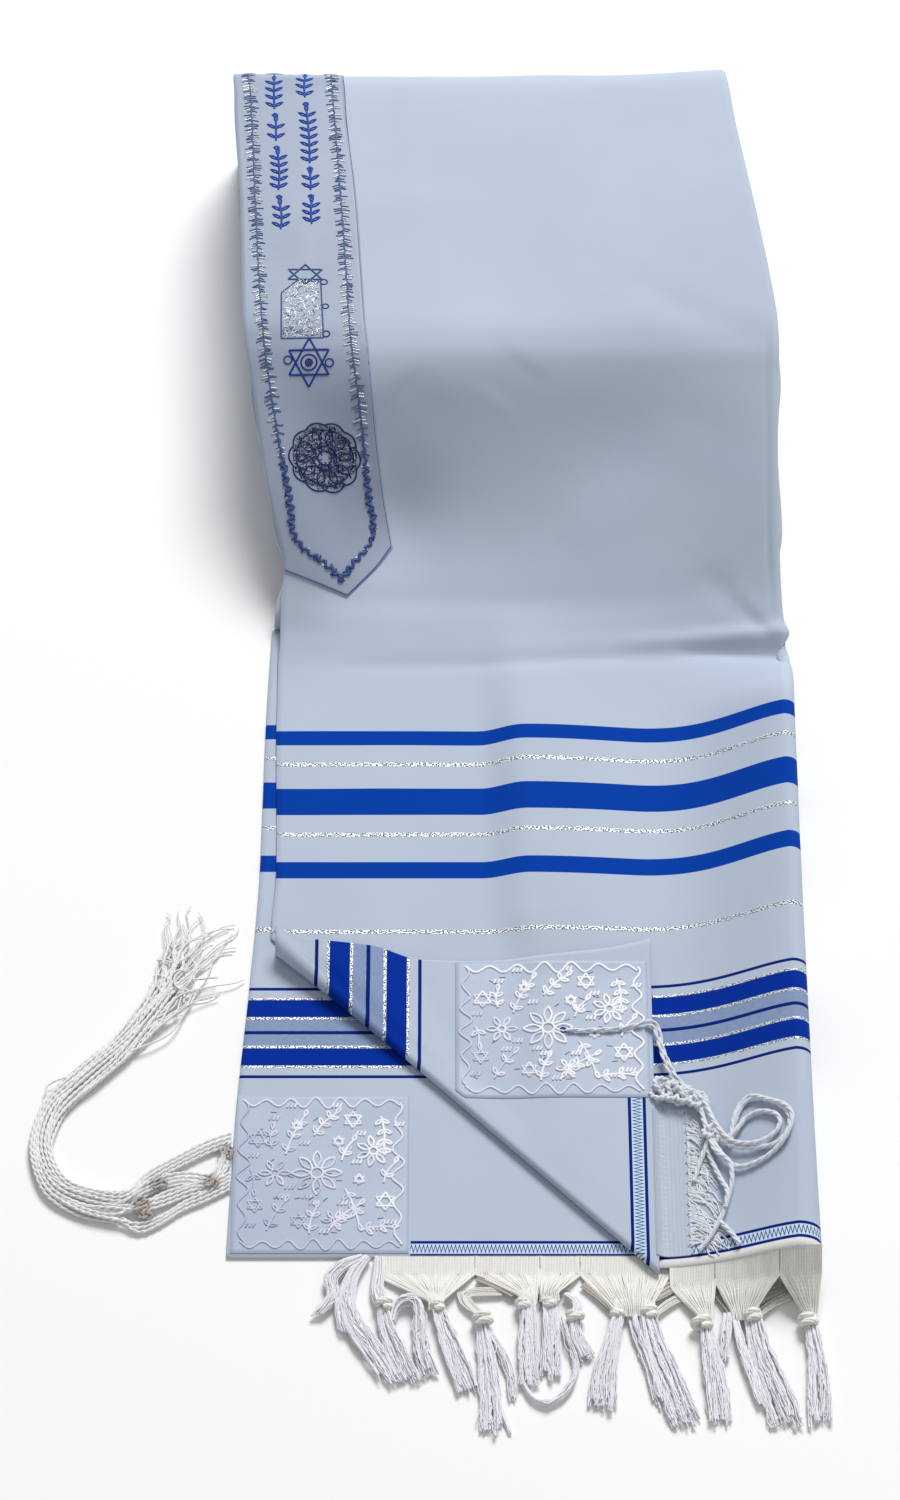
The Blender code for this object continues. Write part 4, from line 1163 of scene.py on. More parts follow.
def bundle(lines, route, strands, seed):
    # loose strands in clumps along a route of x, y, height of the middle, half width
    look = bundleLook
    picker = random.Random(seed)
    middle = curveThrough(route, look["steps"])
    side = sideways(middle)
    t = np.linspace(0, 1, len(middle))
    clumps = max(2, strands // look["strandsPerClump"])
    deep = look["thick"][0] * (1 - t) + look["thick"][1] * t
    clumpRadius = np.maximum(middle[:, 3] / clumps * 1.1, 0.35) * (1 - 0.3 * smooth((t - 0.88) / 0.12))
    for c in range(clumps):
        lane = 2 * (c + 0.5) / clumps - 1 + picker.uniform(-0.1, 0.1)
        level = picker.uniform(-0.8, 0.8)
        drift = picker.uniform(-0.22, 0.22)
        phase = picker.uniform(0, 2 * pi)
        where = (lane + drift * np.sin(pi * t + phase) * smooth(t * 2)) * (1 - 1 / clumps)
        cut = 1 - look["ragged"] * picker.random()
        # strands low in the bundle get more painted shade
        dark = 0.16 * (0.5 - 0.5 * level) + 0.08 * picker.random()
        count = strands // clumps + (1 if c < strands % clumps else 0)
        for k in range(count):
            angle = 2 * pi * k / count + 1.6 * t + c
            across = where * middle[:, 3] + np.cos(angle) * clumpRadius
            points = middle[:, :3] + side * across[:, None]
            points[:, 2] += level * deep + np.sin(angle) * np.minimum(clumpRadius, deep)
            points[:, 2] = np.maximum(points[:, 2], look["floor"])
            keep = max(6, int(round(len(points) * (cut - 0.03 * picker.random()))))
            thin = look["radius"] * (1 - 0.2 * t[:keep])
            astray = smooth(t[:keep] * 3) * (0.7 if k % 4 else 1.6)
            lines.add(points[:keep], thin, dark + 0.08 * picker.random(), 0.0, astray)


wrapLook = {
    "cord": 1.9,              # radius of the cord, made of plies
    "plies": 6,
    "turns": 1.35,
    "tall": 0.78,             # height of the knot as a share of its width
    "steps": 30,
}


def wrapKnot(lines, centre, ahead, radius, seed, start):
    # a cord of several plies wound round the neck of a tassel
    cord, plies, steps = wrapLook["cord"], wrapLook["plies"], wrapLook["steps"]
    ahead, side = frameOf(ahead)
    middle = np.array(centre, float) + np.outer(np.linspace(-0.5, 0.5, steps) * radius * 0.9, ahead)
    turn = start + 2 * pi * wrapLook["turns"] * np.linspace(0, 1, steps)
    up = np.array([0.0, 0.0, wrapLook["tall"]])
    path = winding(middle, turn, radius - cord, side, up)
    tangent = unit(np.gradient(path, axis=0))
    outward = path - centre - np.outer((path - centre) @ ahead, ahead)
    outward = unit(outward)
    across = np.cross(tangent, outward)
    taper = np.minimum(1, np.minimum(np.linspace(0, 5, steps), np.linspace(5, 0, steps)) + 0.35)
    picker = random.Random(seed)
    for k in range(plies):
        wind = 2 * pi * k / plies + np.linspace(0, 2.2 * pi, steps)
        points = winding(path, wind, cord * 0.62 * taper, outward, across)
        points[:, 2] = np.maximum(points[:, 2], 0.7)
        lines.add(points, cord * 0.52 * (0.8 + 0.2 * taper), picker.uniform(0, 0.18))


def twistedString(lines, path, radius, twist, plies=2, shade=0.0, brownTint=0.0):
    # plies wound round one line
    length = lengthsAlong(path)
    tangent = unit(np.gradient(path, axis=0))
    side = unit(np.cross(tangent, np.array([0.0, 0.0, 1.0])))
    up = np.cross(side, tangent)
    for k in range(plies):
        turn = 2 * pi * length / twist + 2 * pi * k / plies
        points = winding(path, turn, radius * 0.8, side, up)
        points[:, 2] = np.maximum(points[:, 2], radius + 0.25)
        lines.add(points, radius, shade, brownTint)


def tieKnot(lines, centre, ahead, size, radius, shade=0.0, brownTint=0.0, flat=0.75):
    # an overhand knot pulled tight: a trefoil of the same string
    t = np.linspace(0, 2 * pi, 72)
    ahead, side = frameOf(ahead)
    reach = (2 + np.cos(3 * t)) * size / 3
    path = winding(np.array(centre, float), 2 * t, reach, 1.2 * ahead, side)
    path[:, 2] += np.sin(3 * t) * size * 0.42 * flat
    twistedString(lines, path, radius, 6.0, 2, shade, brownTint)


# embroidery: raised threads on the neckband and the patches

threadLook = {
    # light thread, deep thread, metallic, roughness
    "blueThread": (srgb(4, 70, 172), srgb(10, 26, 84), 0.0, 0.55),
    "outlineThread": (srgb(82, 112, 154), srgb(26, 46, 120), 0.0, 0.55),
    # the silver thread's deep tone is painted dark reflection of its metal
    "silverThread": (srgb(226, 234, 236), srgb(88, 98, 108), 0.45, 0.35),
    "whiteThread": (srgb(250, 252, 255), srgb(152, 160, 198), 0.0, 0.4),
}


def makeStitchFinish(name):
    # shade mixes from the light thread to the deep one
    light, deep, metallic, roughness = threadLook[name]
    made = Finish(name, Roughness=roughness, Metallic=metallic, Specular_IOR_Level=0.3)
    mask = made.own("shade") + made.noise(made.place(), 1.6, 1.0) * 0.25
    made.set("Base Color", made.mix(mask, light, deep))
    made.bump(made.grain(made.own("along") * 2600.0, made.own("around") * 2.0, 0.0), 0.5, 0.00015)
    return made.material


thread = {name: makeStitchFinish(name) for name in threadLook}


def arc(centre, radius, start=0, end=360, count=14, stretch=1.0):
    angle = np.radians(np.linspace(start, end, count))
    x = centre[0] + radius * np.cos(angle) * stretch
    return np.column_stack([x, centre[1] + radius * np.sin(angle)])


def starLines(centre, radius, stretch=1.0):
    # two overlapping triangles
    return [arc(centre, radius, turn, turn + 360, 4, stretch) for turn in (90, 150)]


def leafLines(foot, angle, long, wide):
    # a leaf: two bowed sides that meet at its tip
    along = np.array([math.cos(angle), math.sin(angle)])
    side = np.array([-along[1], along[0]])
    t = np.linspace(0, 1, 7)
    bow = np.sin(pi * t) * wide
    return [np.array(foot) + np.outer(t * long, along) + np.outer(bow * sign, side) for sign in (-1, 1)]


def sprigLines(low, high, leaves, long, wide, bend=0.0):
    # a stem with paired leaves from low to high
    low, high = np.array(low, float), np.array(high, float)
    along = unit(high - low)
    side = np.array([-along[1], along[0]])
    t = np.linspace(0, 1, 12)
    found = [low + np.outer(t, high - low) + np.outer(np.sin(pi * t) * bend, side)]
    heading = math.atan2(along[1], along[0])
    for k in range(leaves):
        t = (k + 0.3) / leaves
        foot = low + (high - low) * t + side * math.sin(pi * t) * bend
        for sign in (-1, 1):
            found += leafLines(foot, heading + sign * 0.95, long, wide)
    return found + leafLines(high, heading, long, wide)


def petalLines(centre, inner, outer, count, wide, turn=0.0):
    found = []
    for k in range(count):
        angle = 2 * pi * k / count + turn
        foot = (centre[0] + inner * math.cos(angle), centre[1] + inner * math.sin(angle))
        found += leafLines(foot, angle, outer - inner, wide)
    return found


def strokeThrough(middle, turn, reaches):
    # points on a straight stroke, by their distances from its middle
    return [(middle[0] + reach * math.cos(turn), middle[1] + reach * math.sin(turn)) for reach in reaches]


def closer(flat, reach=2.0):
    # adds points so that none is further than reach from the next
    flat = np.asarray(flat, float)
    found = [flat[:1]]
    for first, last in zip(flat, flat[1:]):
        count = max(1, int(math.ceil(np.linalg.norm(last - first) / reach)))
        found.append(first + np.outer(np.arange(1, count + 1) / count, last - first))
    return np.vstack(found)


def laid(at, flat, lift):
    # flat points laid on the surface that at looks up
    return [at(x, y, lift)[0] for x, y in flat]


def stitchAll(lines, at, drawn, radius, lift, shade=0.0):
    for flat in drawn:
        lines.add(laid(at, closer(flat), lift), radius, shade)


bandArt = {
    "lift": 1.42,
    # the border line: down one side, round the point and up the other; x and distance along the cloth
    "border": [(-122, 880), (-122, 800), (-119.9, 777), (-113.4, 661.6), (-108.4, 594.5), (-101, 541),
               (-92.7, 493.4), (-90.9, 476), (-86.9, 468), (-82.2, 462.5), (-76.0, 458.6), (-71.0, 454.8),
               (-66.4, 450.2), (-62.7, 447), (-59.3, 452.7), (-55.9, 457.3), (-51.6, 462.3), (-47.5, 468),
               (-45.2, 475), (-45.1, 486.7), (-47.4, 495.6), (-51.4, 541), (-57.9, 594), (-62.3, 661.6),
               (-70.5, 777.4), (-72, 800), (-72, 880)],
    "turnsAt": 270,            # of its 560 points, the one at the band's tip
    "barbs": (1.95, 3.7),      # their spacing and length
    "sprigLeaf": (6.2, 0.85),  # length and half width of a leaf
    # sprigs in two rows: x and distance of the foot and the tip, pairs of leaves
    "sprigs": [(-99.6, 669, -100.4, 688, 3), (-101.6, 700, -102.6, 729, 5), (-104.0, 741, -104.4, 757, 2),
               (-105.6, 768, -106.4, 794, 4), (-106.6, 804, -106.8, 850, 6),
               (-81.4, 673, -81.8, 690, 3), (-82.6, 700, -83.0, 713, 2), (-83.6, 722, -86.2, 766, 7),
               (-87.4, 778, -87.8, 797, 3), (-88.0, 806, -88.0, 850, 6)],
    "lozenges": [(-103.4, 735.0), (-105.0, 762.6), (-82.2, 695), (-83.2, 717.4), (-86.8, 772.2),
                 (-101.0, 694.2)],
    "lozengeRadius": 1.6,
    "panelStrokes": 330,
    "panel": [(-97.6, 588), (-98.2, 620), (-93.5, 625), (-89, 629.8), (-83, 629.3), (-75.4, 628.5),
              (-73.2, 588)],
    # x, distance, radius and how wide they are drawn
    "stars": [(-84.6, 634.2, 7.6, 1.5), (-81.4, 573.4, 14.4, 0.92)],
    "rings": [(-73.6, 628.5, 2.0), (-72.4, 610.0, 1.8), (-71.6, 590.5, 2.0), (-69.6, 573, 2.4),
              (-93.6, 575, 2.4)],
    "rosette": (-72.6, 518.6, 20.5),
    "rosetteStrokes": 760,
    "rimInset": 0.6,
}


def makeBandArt():
    look = bandArt
    lift = look["lift"]
    blue, silver, outline = Lines(), Lines(), Lines()
    picker = random.Random(21)
    line = curveThrough(look["border"], 560)
    steps = lengthsAlong(line)
    ahead = unit(np.gradient(line, axis=0))
    across = np.column_stack([-ahead[:, 1], ahead[:, 0]])
    low = smooth((545 - line[:, 1]) / 40)
    # lower down the line waves from side to side
    wave = np.sin(2 * pi * steps / 5.6) * (0.4 + 1.2 * low) + 0.5 * np.sin(2 * pi * steps / 2.3) * low
    outline.add(laid(frontAt, line + across * wave[:, None], lift), 0.6 + 0.55 * low, 0.1 + 0.4 * low)
    spacing, length = look["barbs"]
    for k in range(int(steps[-1] / spacing)):
        i = int(np.searchsorted(steps, spacing * (k + 0.5)))
        lowHere = float(low[i])
        # silver barbs gather where the border catches the light: painted glints
        gleam = math.exp(-((line[i, 1] - 606) / 42) ** 2)
        for sign in (-1, 1):
            if picker.random() < 0.12 + 0.4 * lowHere:
                continue
            long = length * picker.uniform(0.6, 1.3) * (1 - 0.45 * lowHere)
            slant = picker.uniform(0.2, 1.6) * (1 if i < look["turnsAt"] else -1)
            tip = line[i] + across[i] * sign * long + ahead[i] * slant
            middle = (line[i] + tip) / 2 + ahead[i] * picker.uniform(-0.4, 0.4)
            barb = laid(frontAt, (line[i] + across[i] * sign * 0.4, middle, tip), lift + 0.05)
            if picker.random() < 0.28 + 0.42 * gleam * (1 - lowHere):
                silver.add(barb, 0.52, 0.3 * picker.random())
            else:
                outline.add(barb, 0.42 + 0.16 * lowHere, 0.3 * picker.random() + 0.3 * lowHere)
    for *ends, leaves in look["sprigs"]:
        drawn = sprigLines(ends[:2], ends[2:], leaves, *look["sprigLeaf"], picker.uniform(-0.8, 0.8))
        stitchAll(blue, frontAt, drawn, 0.68, lift - 0.1)
    drawn = [arc(centre, look["lozengeRadius"], count=5) for centre in look["lozenges"]]
    stitchAll(blue, frontAt, drawn, 0.7, lift - 0.1)
    # the silver panel: many short strokes inside a blue outline
    panel = np.array(look["panel"], float)
    stitchAll(outline, frontAt, [np.vstack([panel, panel[:1]])], 0.45, lift, 0.3)
    for _ in range(look["panelStrokes"]):
        s = picker.uniform(589, 635)
        left = np.interp(s, panel[:4, 1], panel[:4, 0])
        right = np.interp(s, panel[:2:-1, 1], panel[:2:-1, 0])
        if right - left < 2.5:
            continue
        x = picker.uniform(left + 1, right - 1)
        turn = picker.uniform(0, pi)
        reach = picker.uniform(0.8, 2.0)
        ends = strokeThrough((x, s), turn, (-reach, 0, reach))
        points = [frontAt(*end, lift + picker.uniform(-0.3, 0.1))[0] for end in ends]
        silver.add(points, 0.36, 0.9 * picker.random() ** 1.6)
    for (*centre, radius, stretch), lines in zip(look["stars"], (outline, blue)):
        stitchAll(lines, frontAt, starLines(centre, radius, stretch), 0.62, lift, 0.25)
    drawn = [arc(centre, 2.0), arc(centre, 1.0, count=8), arc(centre, 4.6, count=20)]
    stitchAll(blue, frontAt, drawn, 0.5, lift, 0.5)
    drawn = [arc(centre, radius, count=12) for *centre, radius in look["rings"]]
    stitchAll(blue, frontAt, drawn, 0.45, lift, 0.35)
    # the rosette: scalloped rim, two rounds of petals and a middle
    *centre, size = look["rosette"]
    x, s = centre
    rim = np.radians(np.linspace(0, 360, 121))
    reach = size * (0.92 + 0.08 * np.abs(np.cos(rim * 5)))
    drawn = [np.column_stack([x + reach * np.cos(rim), s + reach * np.sin(rim)])]
    drawn += [arc(centre, size * share, count=40) for share in (0.80, 0.34, 0.2)]
    drawn += petalLines(centre, size * 0.36, size * 0.80, 10, 2.2, 0.1)
    drawn += petalLines(centre, size * 0.2, size * 0.34, 6, 1.0)
    stitchAll(blue, frontAt, drawn, 0.5, lift, 0.8)
    for k in range(look["rosetteStrokes"]):
        angle = picker.uniform(0, 2 * pi)
        away = size * math.sqrt(picker.uniform(0.02, 0.8))
        middle = (x + away * math.cos(angle), s + away * math.sin(angle))
        ends = strokeThrough(middle, picker.uniform(0, pi), (-1.1, 0, 1.1))
        lines = silver if k % 2 else blue
        lines.add(laid(frontAt, ends, lift - 0.05), 0.4, picker.uniform(0.6, 1.0) if k % 2 else 0.9)
    # the stitched rim of the band: its right side, then its pointed end
    inset = look["rimInset"]
    side = [(bandWidth(s) - inset, s) for s in (880, 700, 600, 540, 500)]
    side.append((bandWidth(468) - inset, 468.5))
    tip = [(bandWidth(467) - inset, 468), (neckband["tip"] * bandWidth(437), 438), (inset, 451.8)]
    t = np.linspace(0, 1, 24)[:, None]
    tip = np.array(tip)
    tip = np.vstack([a + (b - a) * t for a, b in zip(tip, tip[1:])])
    for flat, radius in ((curveThrough(side, 60), 0.17), (tip, 0.46)):
        outline.add(laid(frontSurface.at, flat, lift - 0.1), radius, 0.2)
    return [blue.sweep("bandBlueStitches", thread["blueThread"], sides=4, spacing=0.0009),
            silver.sweep("bandSilverStitches", thread["silverThread"], sides=4, spacing=0.0009),
            outline.sweep("bandRim", thread["outlineThread"], sides=4, spacing=0.0009)]


patchArt = {
    "lift": 1.08,
    "radius": 0.8,
    "strokes": 26,
    "leaf": (4.6, 0.9),        # length and half width of a leaf
    # centre across and up the patch, size: stars, rosettes and sprigs
    "stars": [(0.14, 0.72, 5.4), (0.87, 0.32, 5.6), (0.38, 0.20, 4.6), (0.68, 0.84, 5.2), (0.13, 0.30, 4.6),
              (0.60, 0.70, 3.4), (0.36, 0.80, 3.4), (0.72, 0.46, 3.2)],
    "rosettes": [(0.48, 0.50, 13.5, 8), (0.24, 0.50, 8.5, 6), (0.80, 0.64, 9.5, 7), (0.58, 0.20, 6.5, 6)],
    "sprigs": [(0.30, 0.62, 0.40, 0.86, 3), (0.56, 0.16, 0.72, 0.30, 3), (0.84, 0.86, 0.86, 0.66, 3),
               (0.20, 0.14, 0.30, 0.32, 2), (0.64, 0.40, 0.72, 0.18, 2), (0.10, 0.52, 0.12, 0.40, 1),
               (0.46, 0.74, 0.58, 0.88, 3), (0.86, 0.44, 0.92, 0.56, 1), (0.22, 0.66, 0.22, 0.78, 2),
               (0.74, 0.14, 0.90, 0.16, 2), (0.62, 0.58, 0.68, 0.70, 1), (0.44, 0.12, 0.48, 0.28, 2)],
    "dashes": [(0.3, 0.92), (0.44, 0.3), (0.68, 0.56), (0.24, 0.34), (0.56, 0.92), (0.92, 0.8),
               (0.08, 0.16), (0.09, 0.6), (0.3, 0.4), (0.4, 0.34), (0.6, 0.3), (0.7, 0.74), (0.88, 0.18),
               (0.5, 0.12), (0.62, 0.64), (0.38, 0.68), (0.2, 0.84), (0.8, 0.14)],
}


def makePatchArt(name, rectangle, at, extraShade, seed, eyelet=None):
    look = patchArt
    left, right, low, high = rectangle
    wide, tall = right - left, high - low
    lines, grey = Lines(), Lines()
    picker = random.Random(seed)
    drawn = []

    def on(a, b):
        return left + wide * a, low + tall * b

    # waved border: a zigzag with rounded points on all four sides
    t = np.linspace(0.05, 0.95, 61)
    for side in range(4):
        sway = 2.7 * np.sin(t * (36 if side % 2 else 44)) * (1 - 0.3 * np.sin(t * 9))
        inset = (5.0, 5.5, tall - 5.0, wide - 5.5)[side]
        x, y = (left + inset + sway, low + tall * t) if side % 2 else (left + wide * t, low + inset + sway)
        drawn.append(np.column_stack([x, y]))
    for a, b, size in look["stars"]:
        drawn += starLines(on(a, b), size)
    for a, b, size, count in look["rosettes"]:
        drawn += petalLines(on(a, b), size * 0.25, size, count, size * 0.16)
        drawn.append(arc(on(a, b), size * 0.25, count=12))
    for a, b, c, d, leaves in look["sprigs"]:
        drawn += sprigLines(on(a, b), on(c, d), leaves, *look["leaf"], 1.0)
    for place in look["dashes"]:
        x, y = on(*place)
        drawn += [np.array([(x + shift, y), (x + shift + 1.2, y + 2.4)]) for shift in (0, 2, 4)]
    for flat in drawn:
        flat = closer(flat)
        if at is turnedAt:
            flat = flat[flat.sum(axis=1) > frontCloth["foldSum"] + 2.5]      # nothing beyond the fold
        if len(flat) < 2:
            continue
        a = (flat[:, 0].mean() - left) / wide
        b = (flat[:, 1].mean() - low) / tall
        # toward the lower left the strokes get thinner and take painted shade, where the satin thread
        # reflects less light
        thinAndShaded = min(1, max(0, extraShade + 0.5 - 0.6 * a - 0.35 * b + picker.uniform(-0.15, 0.2)))
        lines.add(laid(at, flat, look["lift"]), look["radius"] * (1 - 0.35 * thinAndShaded), thinAndShaded)
    # a few darker strokes: painted dark reflections in the satin thread
    for _ in range(look["strokes"]):
        x, y = on(picker.uniform(0.08, 0.9), picker.uniform(0.1, 0.9))
        turn = picker.uniform(-0.5, 0.9)
        if at is turnedAt and x + y < frontCloth["foldSum"] + 6:
            continue
        grey.add(laid(at, strokeThrough((x, y), turn, (0, 1.5, 3.2)), look["lift"]), 0.26, 0.2)
    if eyelet:
        stitchAll(grey, at, [arc(eyelet, 1.5), arc(eyelet, 0.8, count=8)], 0.5, look["lift"] + 0.2, 1.0)
    return [lines.sweep(name + "Stitches", thread["whiteThread"], sides=5, spacing=0.0009),
            grey.sweep(name + "Strokes", thread["outlineThread"], sides=4, spacing=0.0009)]


bandArtPieces = makeBandArt()
# the back patch's strokes take more painted shade
backArtPieces = makePatchArt("backPatch", patches["back"], backAt, 0.25, 5)
frontArtPieces = makePatchArt("frontPatch", patches["front"], turnedAt, 0.0, 6, (61, -193))
print("embroidery made")


# fringe along the hems: a header of threads drawn into knots, and loose tassels

fringe = {
    "pitch": 0.8,             # from thread to thread
    "thread": 0.46,
    "apex": 10.5,             # how far below the hem the gaps between fans begin
    "strandsFor": 2.5,        # strands drawn for each one counted in a tassel
    # for each hem, fans: x to x at the hem, then the knot's left x, right x and y
    # knots: x, y, height, direction, radius
    # crossings, threads of the lower layer across the gaps: start, middle, end, half width, brown tint
    # (painted brownish shadow)
    # tassels: strands, then x, y, height and half width along each
    "backFringe": {
        "hem": backCloth["hem"],
        "flat": True,
        "seed": 21,
        "fans": [(-39, 13, -11.0, -3.5, -357), (13, 47, 36.5, 45, -354), (47, 68, 47, 56.5, -352),
                 (68, 115, 84, 104, -361)],
        "knots": [(-34.5, -359, 4.2, (0, -1), 5.2), (-6.5, -360, 4.2, (0.1, -1), 4.4),
                  (17, -368, 4.6, (0.1, -1), 5.8), (38, -359, 4.2, (0, -1), 4.6),
                  (52, -358, 3.8, (0, -1), 4.2), (65, -366, 4.2, (0.1, -1), 5.2),
                  (87, -364, 4, (-0.2, -1), 4.2)],
        "crossings": [((27, -350), (8, -352), (15, -364), 2.6, 0.0),
                      ((6, -350), (8, -357), (19, -366), 2.6, 0.0),
                      ((62, -347), (50, -349), (44, -352), 1.6, 0.35),
                      ((14, -342), (24, -347), (33, -353), 1.8, 0.7),
                      ((69, -346), (76, -352), (84, -361), 1.8, 0.6)],
        "tassels": [
            (16, [(-46, -330, 2.5, 1.5), (-55, -335, 3, 3.6), (-62, -343, 3, 4.2), (-60, -352, 3, 3.2),
                  (-65, -360, 2.6, 3), (-71, -366, 2, 2.4)]),
            (30, [(-43, -330, 2.5, 1.6), (-49, -338, 3, 3.4), (-53, -350, 3, 4.2), (-53, -360, 3, 4.4),
                  (-48, -372, 3, 5.2), (-38, -387, 2.6, 5.4), (-29, -404, 2, 4.6)]),
            (9, [(-58, -355, 2.5, 2.2), (-57, -365, 2.2, 2.6), (-54, -375, 1.8, 2.2)]),
            (30, [(-37, -331, 3.5, 2.4), (-37, -340, 3.6, 3.2), (-38, -350, 3.6, 3.2), (-35, -360, 4, 2.8),
                  (-33, -372, 3.4, 4.6), (-27, -388, 2.8, 6.2), (-20, -404, 2, 6.4)]),
            (22, [(-30, -368, 2.4, 1.6), (-28, -360, 3.6, 2.4), (-23, -355.5, 4.6, 2.8),
                  (-17.5, -358, 4.6, 2.8), (-16, -368, 3.6, 3), (-15, -384, 2.8, 4.4),
                  (-10, -402, 2, 4.6)]),
            (2, [(-17, -374, 2, 0.5), (-12, -386, 1.5, 0.6), (-6, -400, 1.2, 0.6)]),
            (32, [(-7.5, -352, 3, 3.4), (-6, -362, 4, 3.2), (-1, -378, 3.4, 4.6), (5, -396, 2.8, 5.6),
                  (10, -410, 2, 5.6)]),
            (34, [(15, -364, 3.6, 3.2), (17, -374, 4, 3.4), (19, -392, 3.2, 5), (20.5, -414, 2.6, 5.8),
                  (21, -434, 2, 5.8)]),
            (10, [(19, -373, 3.4, 1.6), (26, -384, 2.8, 2.2), (31, -398, 2.2, 2.4),
                  (32.5, -414, 1.6, 2.2)]),
            (5, [(25, -416, 1.8, 1.2), (28, -424, 1.5, 1.2), (31, -432, 1.2, 1.2)]),
            (32, [(40.5, -350, 3.2, 3.8), (40.5, -360, 4, 3.8), (40, -376, 3.4, 4.8), (40, -392, 2.8, 5.6),
                  (41, -408, 2, 6)]),
            (26, [(52, -348, 3, 4), (52, -360, 3.6, 3.8), (52.5, -378, 3, 4.8), (52, -402, 2, 5.6)]),
            (9, [(38, -404, 2.4, 1.4), (42, -412, 2.6, 1.5), (50, -415.5, 2.8, 1.6), (58, -411, 2.8, 1.6),
                 (63.5, -402, 2.8, 1.6), (64.5, -390, 3, 1.6), (61, -377, 3.6, 1.8), (58, -366, 4, 2)]),
            (22, [(60, -352, 2.6, 1.8), (66, -358, 3.6, 2.4), (64.5, -368, 4, 2.4), (66, -378, 3.4, 3.6),
                  (72, -392, 2, 5.2)]),
            (30, [(88, -356, 3, 3), (87, -366, 3.8, 3), (83, -382, 3.2, 4.4), (79, -400, 2.6, 6.6),
                  (77.5, -420, 2, 6.8)]),
            (14, [(94, -362, 2.6, 2.6), (96, -374, 3, 2.6), (101, -390, 2.6, 2.8), (108, -418, 1.8, 3)]),
        ],
    },
    "frontFringe": {
        "hem": run["y"][0],
        "flat": False,        # its cloth rises over a ridge and the puffed fold
        "seed": 31,
        "fans": [(115, 138, 129, 136, -366), (138, 171, 146, 158, -363), (171, 192.5, 184, 190, -365)],
        "knots": [(130, -370.5, 4.6, (0.15, -1), 5.8), (103.5, -364, 4.2, (0.1, -1), 5.2),
                  (157, -366, 4.4, (0.1, -1), 5.4), (185.5, -369, 4.6, (0.05, -1), 5.8)],
        "crossings": [((123, -352), (114, -357), (104, -366), 2.4, 0.0),
                      ((118, -345), (112, -350), (103, -356), 3.4, 0.55),
                      ((120, -343), (122, -349), (126, -355), 2.6, 0.6),
                      ((177, -352), (168, -357), (159, -365), 2.4, 0.0),
                      ((173, -347), (166, -351), (157, -358), 3.2, 0.5),
                      ((174, -345), (177, -350), (180, -355), 2.4, 0.6),
                      ((139, -352), (143, -358), (147, -366), 1.8, 0.5)],
        "tassels": [
            (44, [(102, -357, 3.2, 4.4), (103, -368, 4.2, 4.6), (107, -386, 3.4, 6.4),
                  (113, -404, 2.8, 7.8), (121, -430, 2, 8.4)]),
            (34, [(132, -362, 3.4, 3.2), (133, -374, 4, 3.2), (135, -392, 3.2, 5.6), (137.5, -412, 2.6, 7),
                  (138, -428, 2, 6.6)]),
            (14, [(144, -364, 3, 2.6), (143, -376, 3.2, 3), (141.5, -392, 2.2, 3)]),
            (14, [(148, -368, 2.8, 1.8), (151, -384, 2.8, 2.4), (156, -402, 2.2, 2.6),
                  (161, -418, 1.8, 2.8)]),
            (44, [(156, -358, 3.2, 4.4), (157.5, -369, 4.2, 4.8), (161, -388, 3.4, 6.4),
                  (167, -406, 2.8, 7.8), (174, -430, 2, 8.2)]),
            (32, [(187, -360, 3.6, 2.8), (187, -374, 4, 3), (189, -394, 3.2, 5.4), (189.5, -412, 2.6, 6.6),
                  (190, -429, 2, 6.4)]),
        ],
    },
}


def threadHeights(x, look):
    # a thread's height over the floor, at the hem and where the gaps begin
    if look["flat"]:
        return 1.0, 1.0
    near = float(frontHeightAt(x, look["hem"])) - 0.1
    return near, max(near * 0.62, 1.2)


def addFans(lines, look):
    # threads leave the hem side by side and pile up on their way to the knot
    picker = random.Random(look["seed"])
    hem = look["hem"]
    for left, right, knotLeft, knotRight, knotY in look["fans"]:
        count = int((right - left) / fringe["pitch"])
        for k in range(count + 1):
            share = k / count
            x = left + (right - left) * share
            endX = knotLeft + (knotRight - knotLeft) * share
            near, far = threadHeights(x, look)
            layer = k % 3
            edge = k in (0, 1, count - 1, count)
            top = hem + 0.6
            apexY = hem - fringe["apex"] + 0.8 * math.sin(x * 0.7)
            points = [(x, top + (apexY - top) * t, near + (far - near) * t) for t in (0.0, 0.5, 1.0)]
            for t in (0.25, 0.5, 0.75, 1.0):
                pile = (layer * 0.75 + edge * 0.5) * t
                dome = 1.1 * math.sin(pi * share) * t
                sway = picker.uniform(-0.25, 0.25)
                high = far + (3.4 - far) * t + pile + dome
                points.append((x + (endX - x) * t + sway, apexY + (knotY - apexY) * t, high))
            points.append((endX + 0.3 * math.sin(k), knotY - 5, 3.2 + layer * 0.6))
            radius = fringe["thread"] * (1.25 if edge else 1.0)
            lines.add(points, radius, 0.12 * picker.random() + 0.1 * layer / 3)


def addCrossings(lines, look):
    picker = random.Random(look["seed"] + 1)
    for start, middle, end, half, brownTint in look["crossings"]:
        route = curveThrough([(*start, 1.6, half), (*middle, 2.2, half), (*end, 3.0, half * 0.7)], 8)
        side = sideways(route)
        count = max(3, int(half * 2 / fringe["pitch"]))
        for k in range(count):
            lane = 2 * (k + 0.5) / count - 1
            points = route[:, :3] + side * (lane * route[:, 3])[:, None]
            points[:, 2] += picker.uniform(-0.3, 0.3)
            # the lower layer's threads in the gaps take painted shade and a painted brownish shadow
            lines.add(points, 0.5, 0.25 * picker.random() + 0.2, brownTint * picker.uniform(0.6, 1.0))


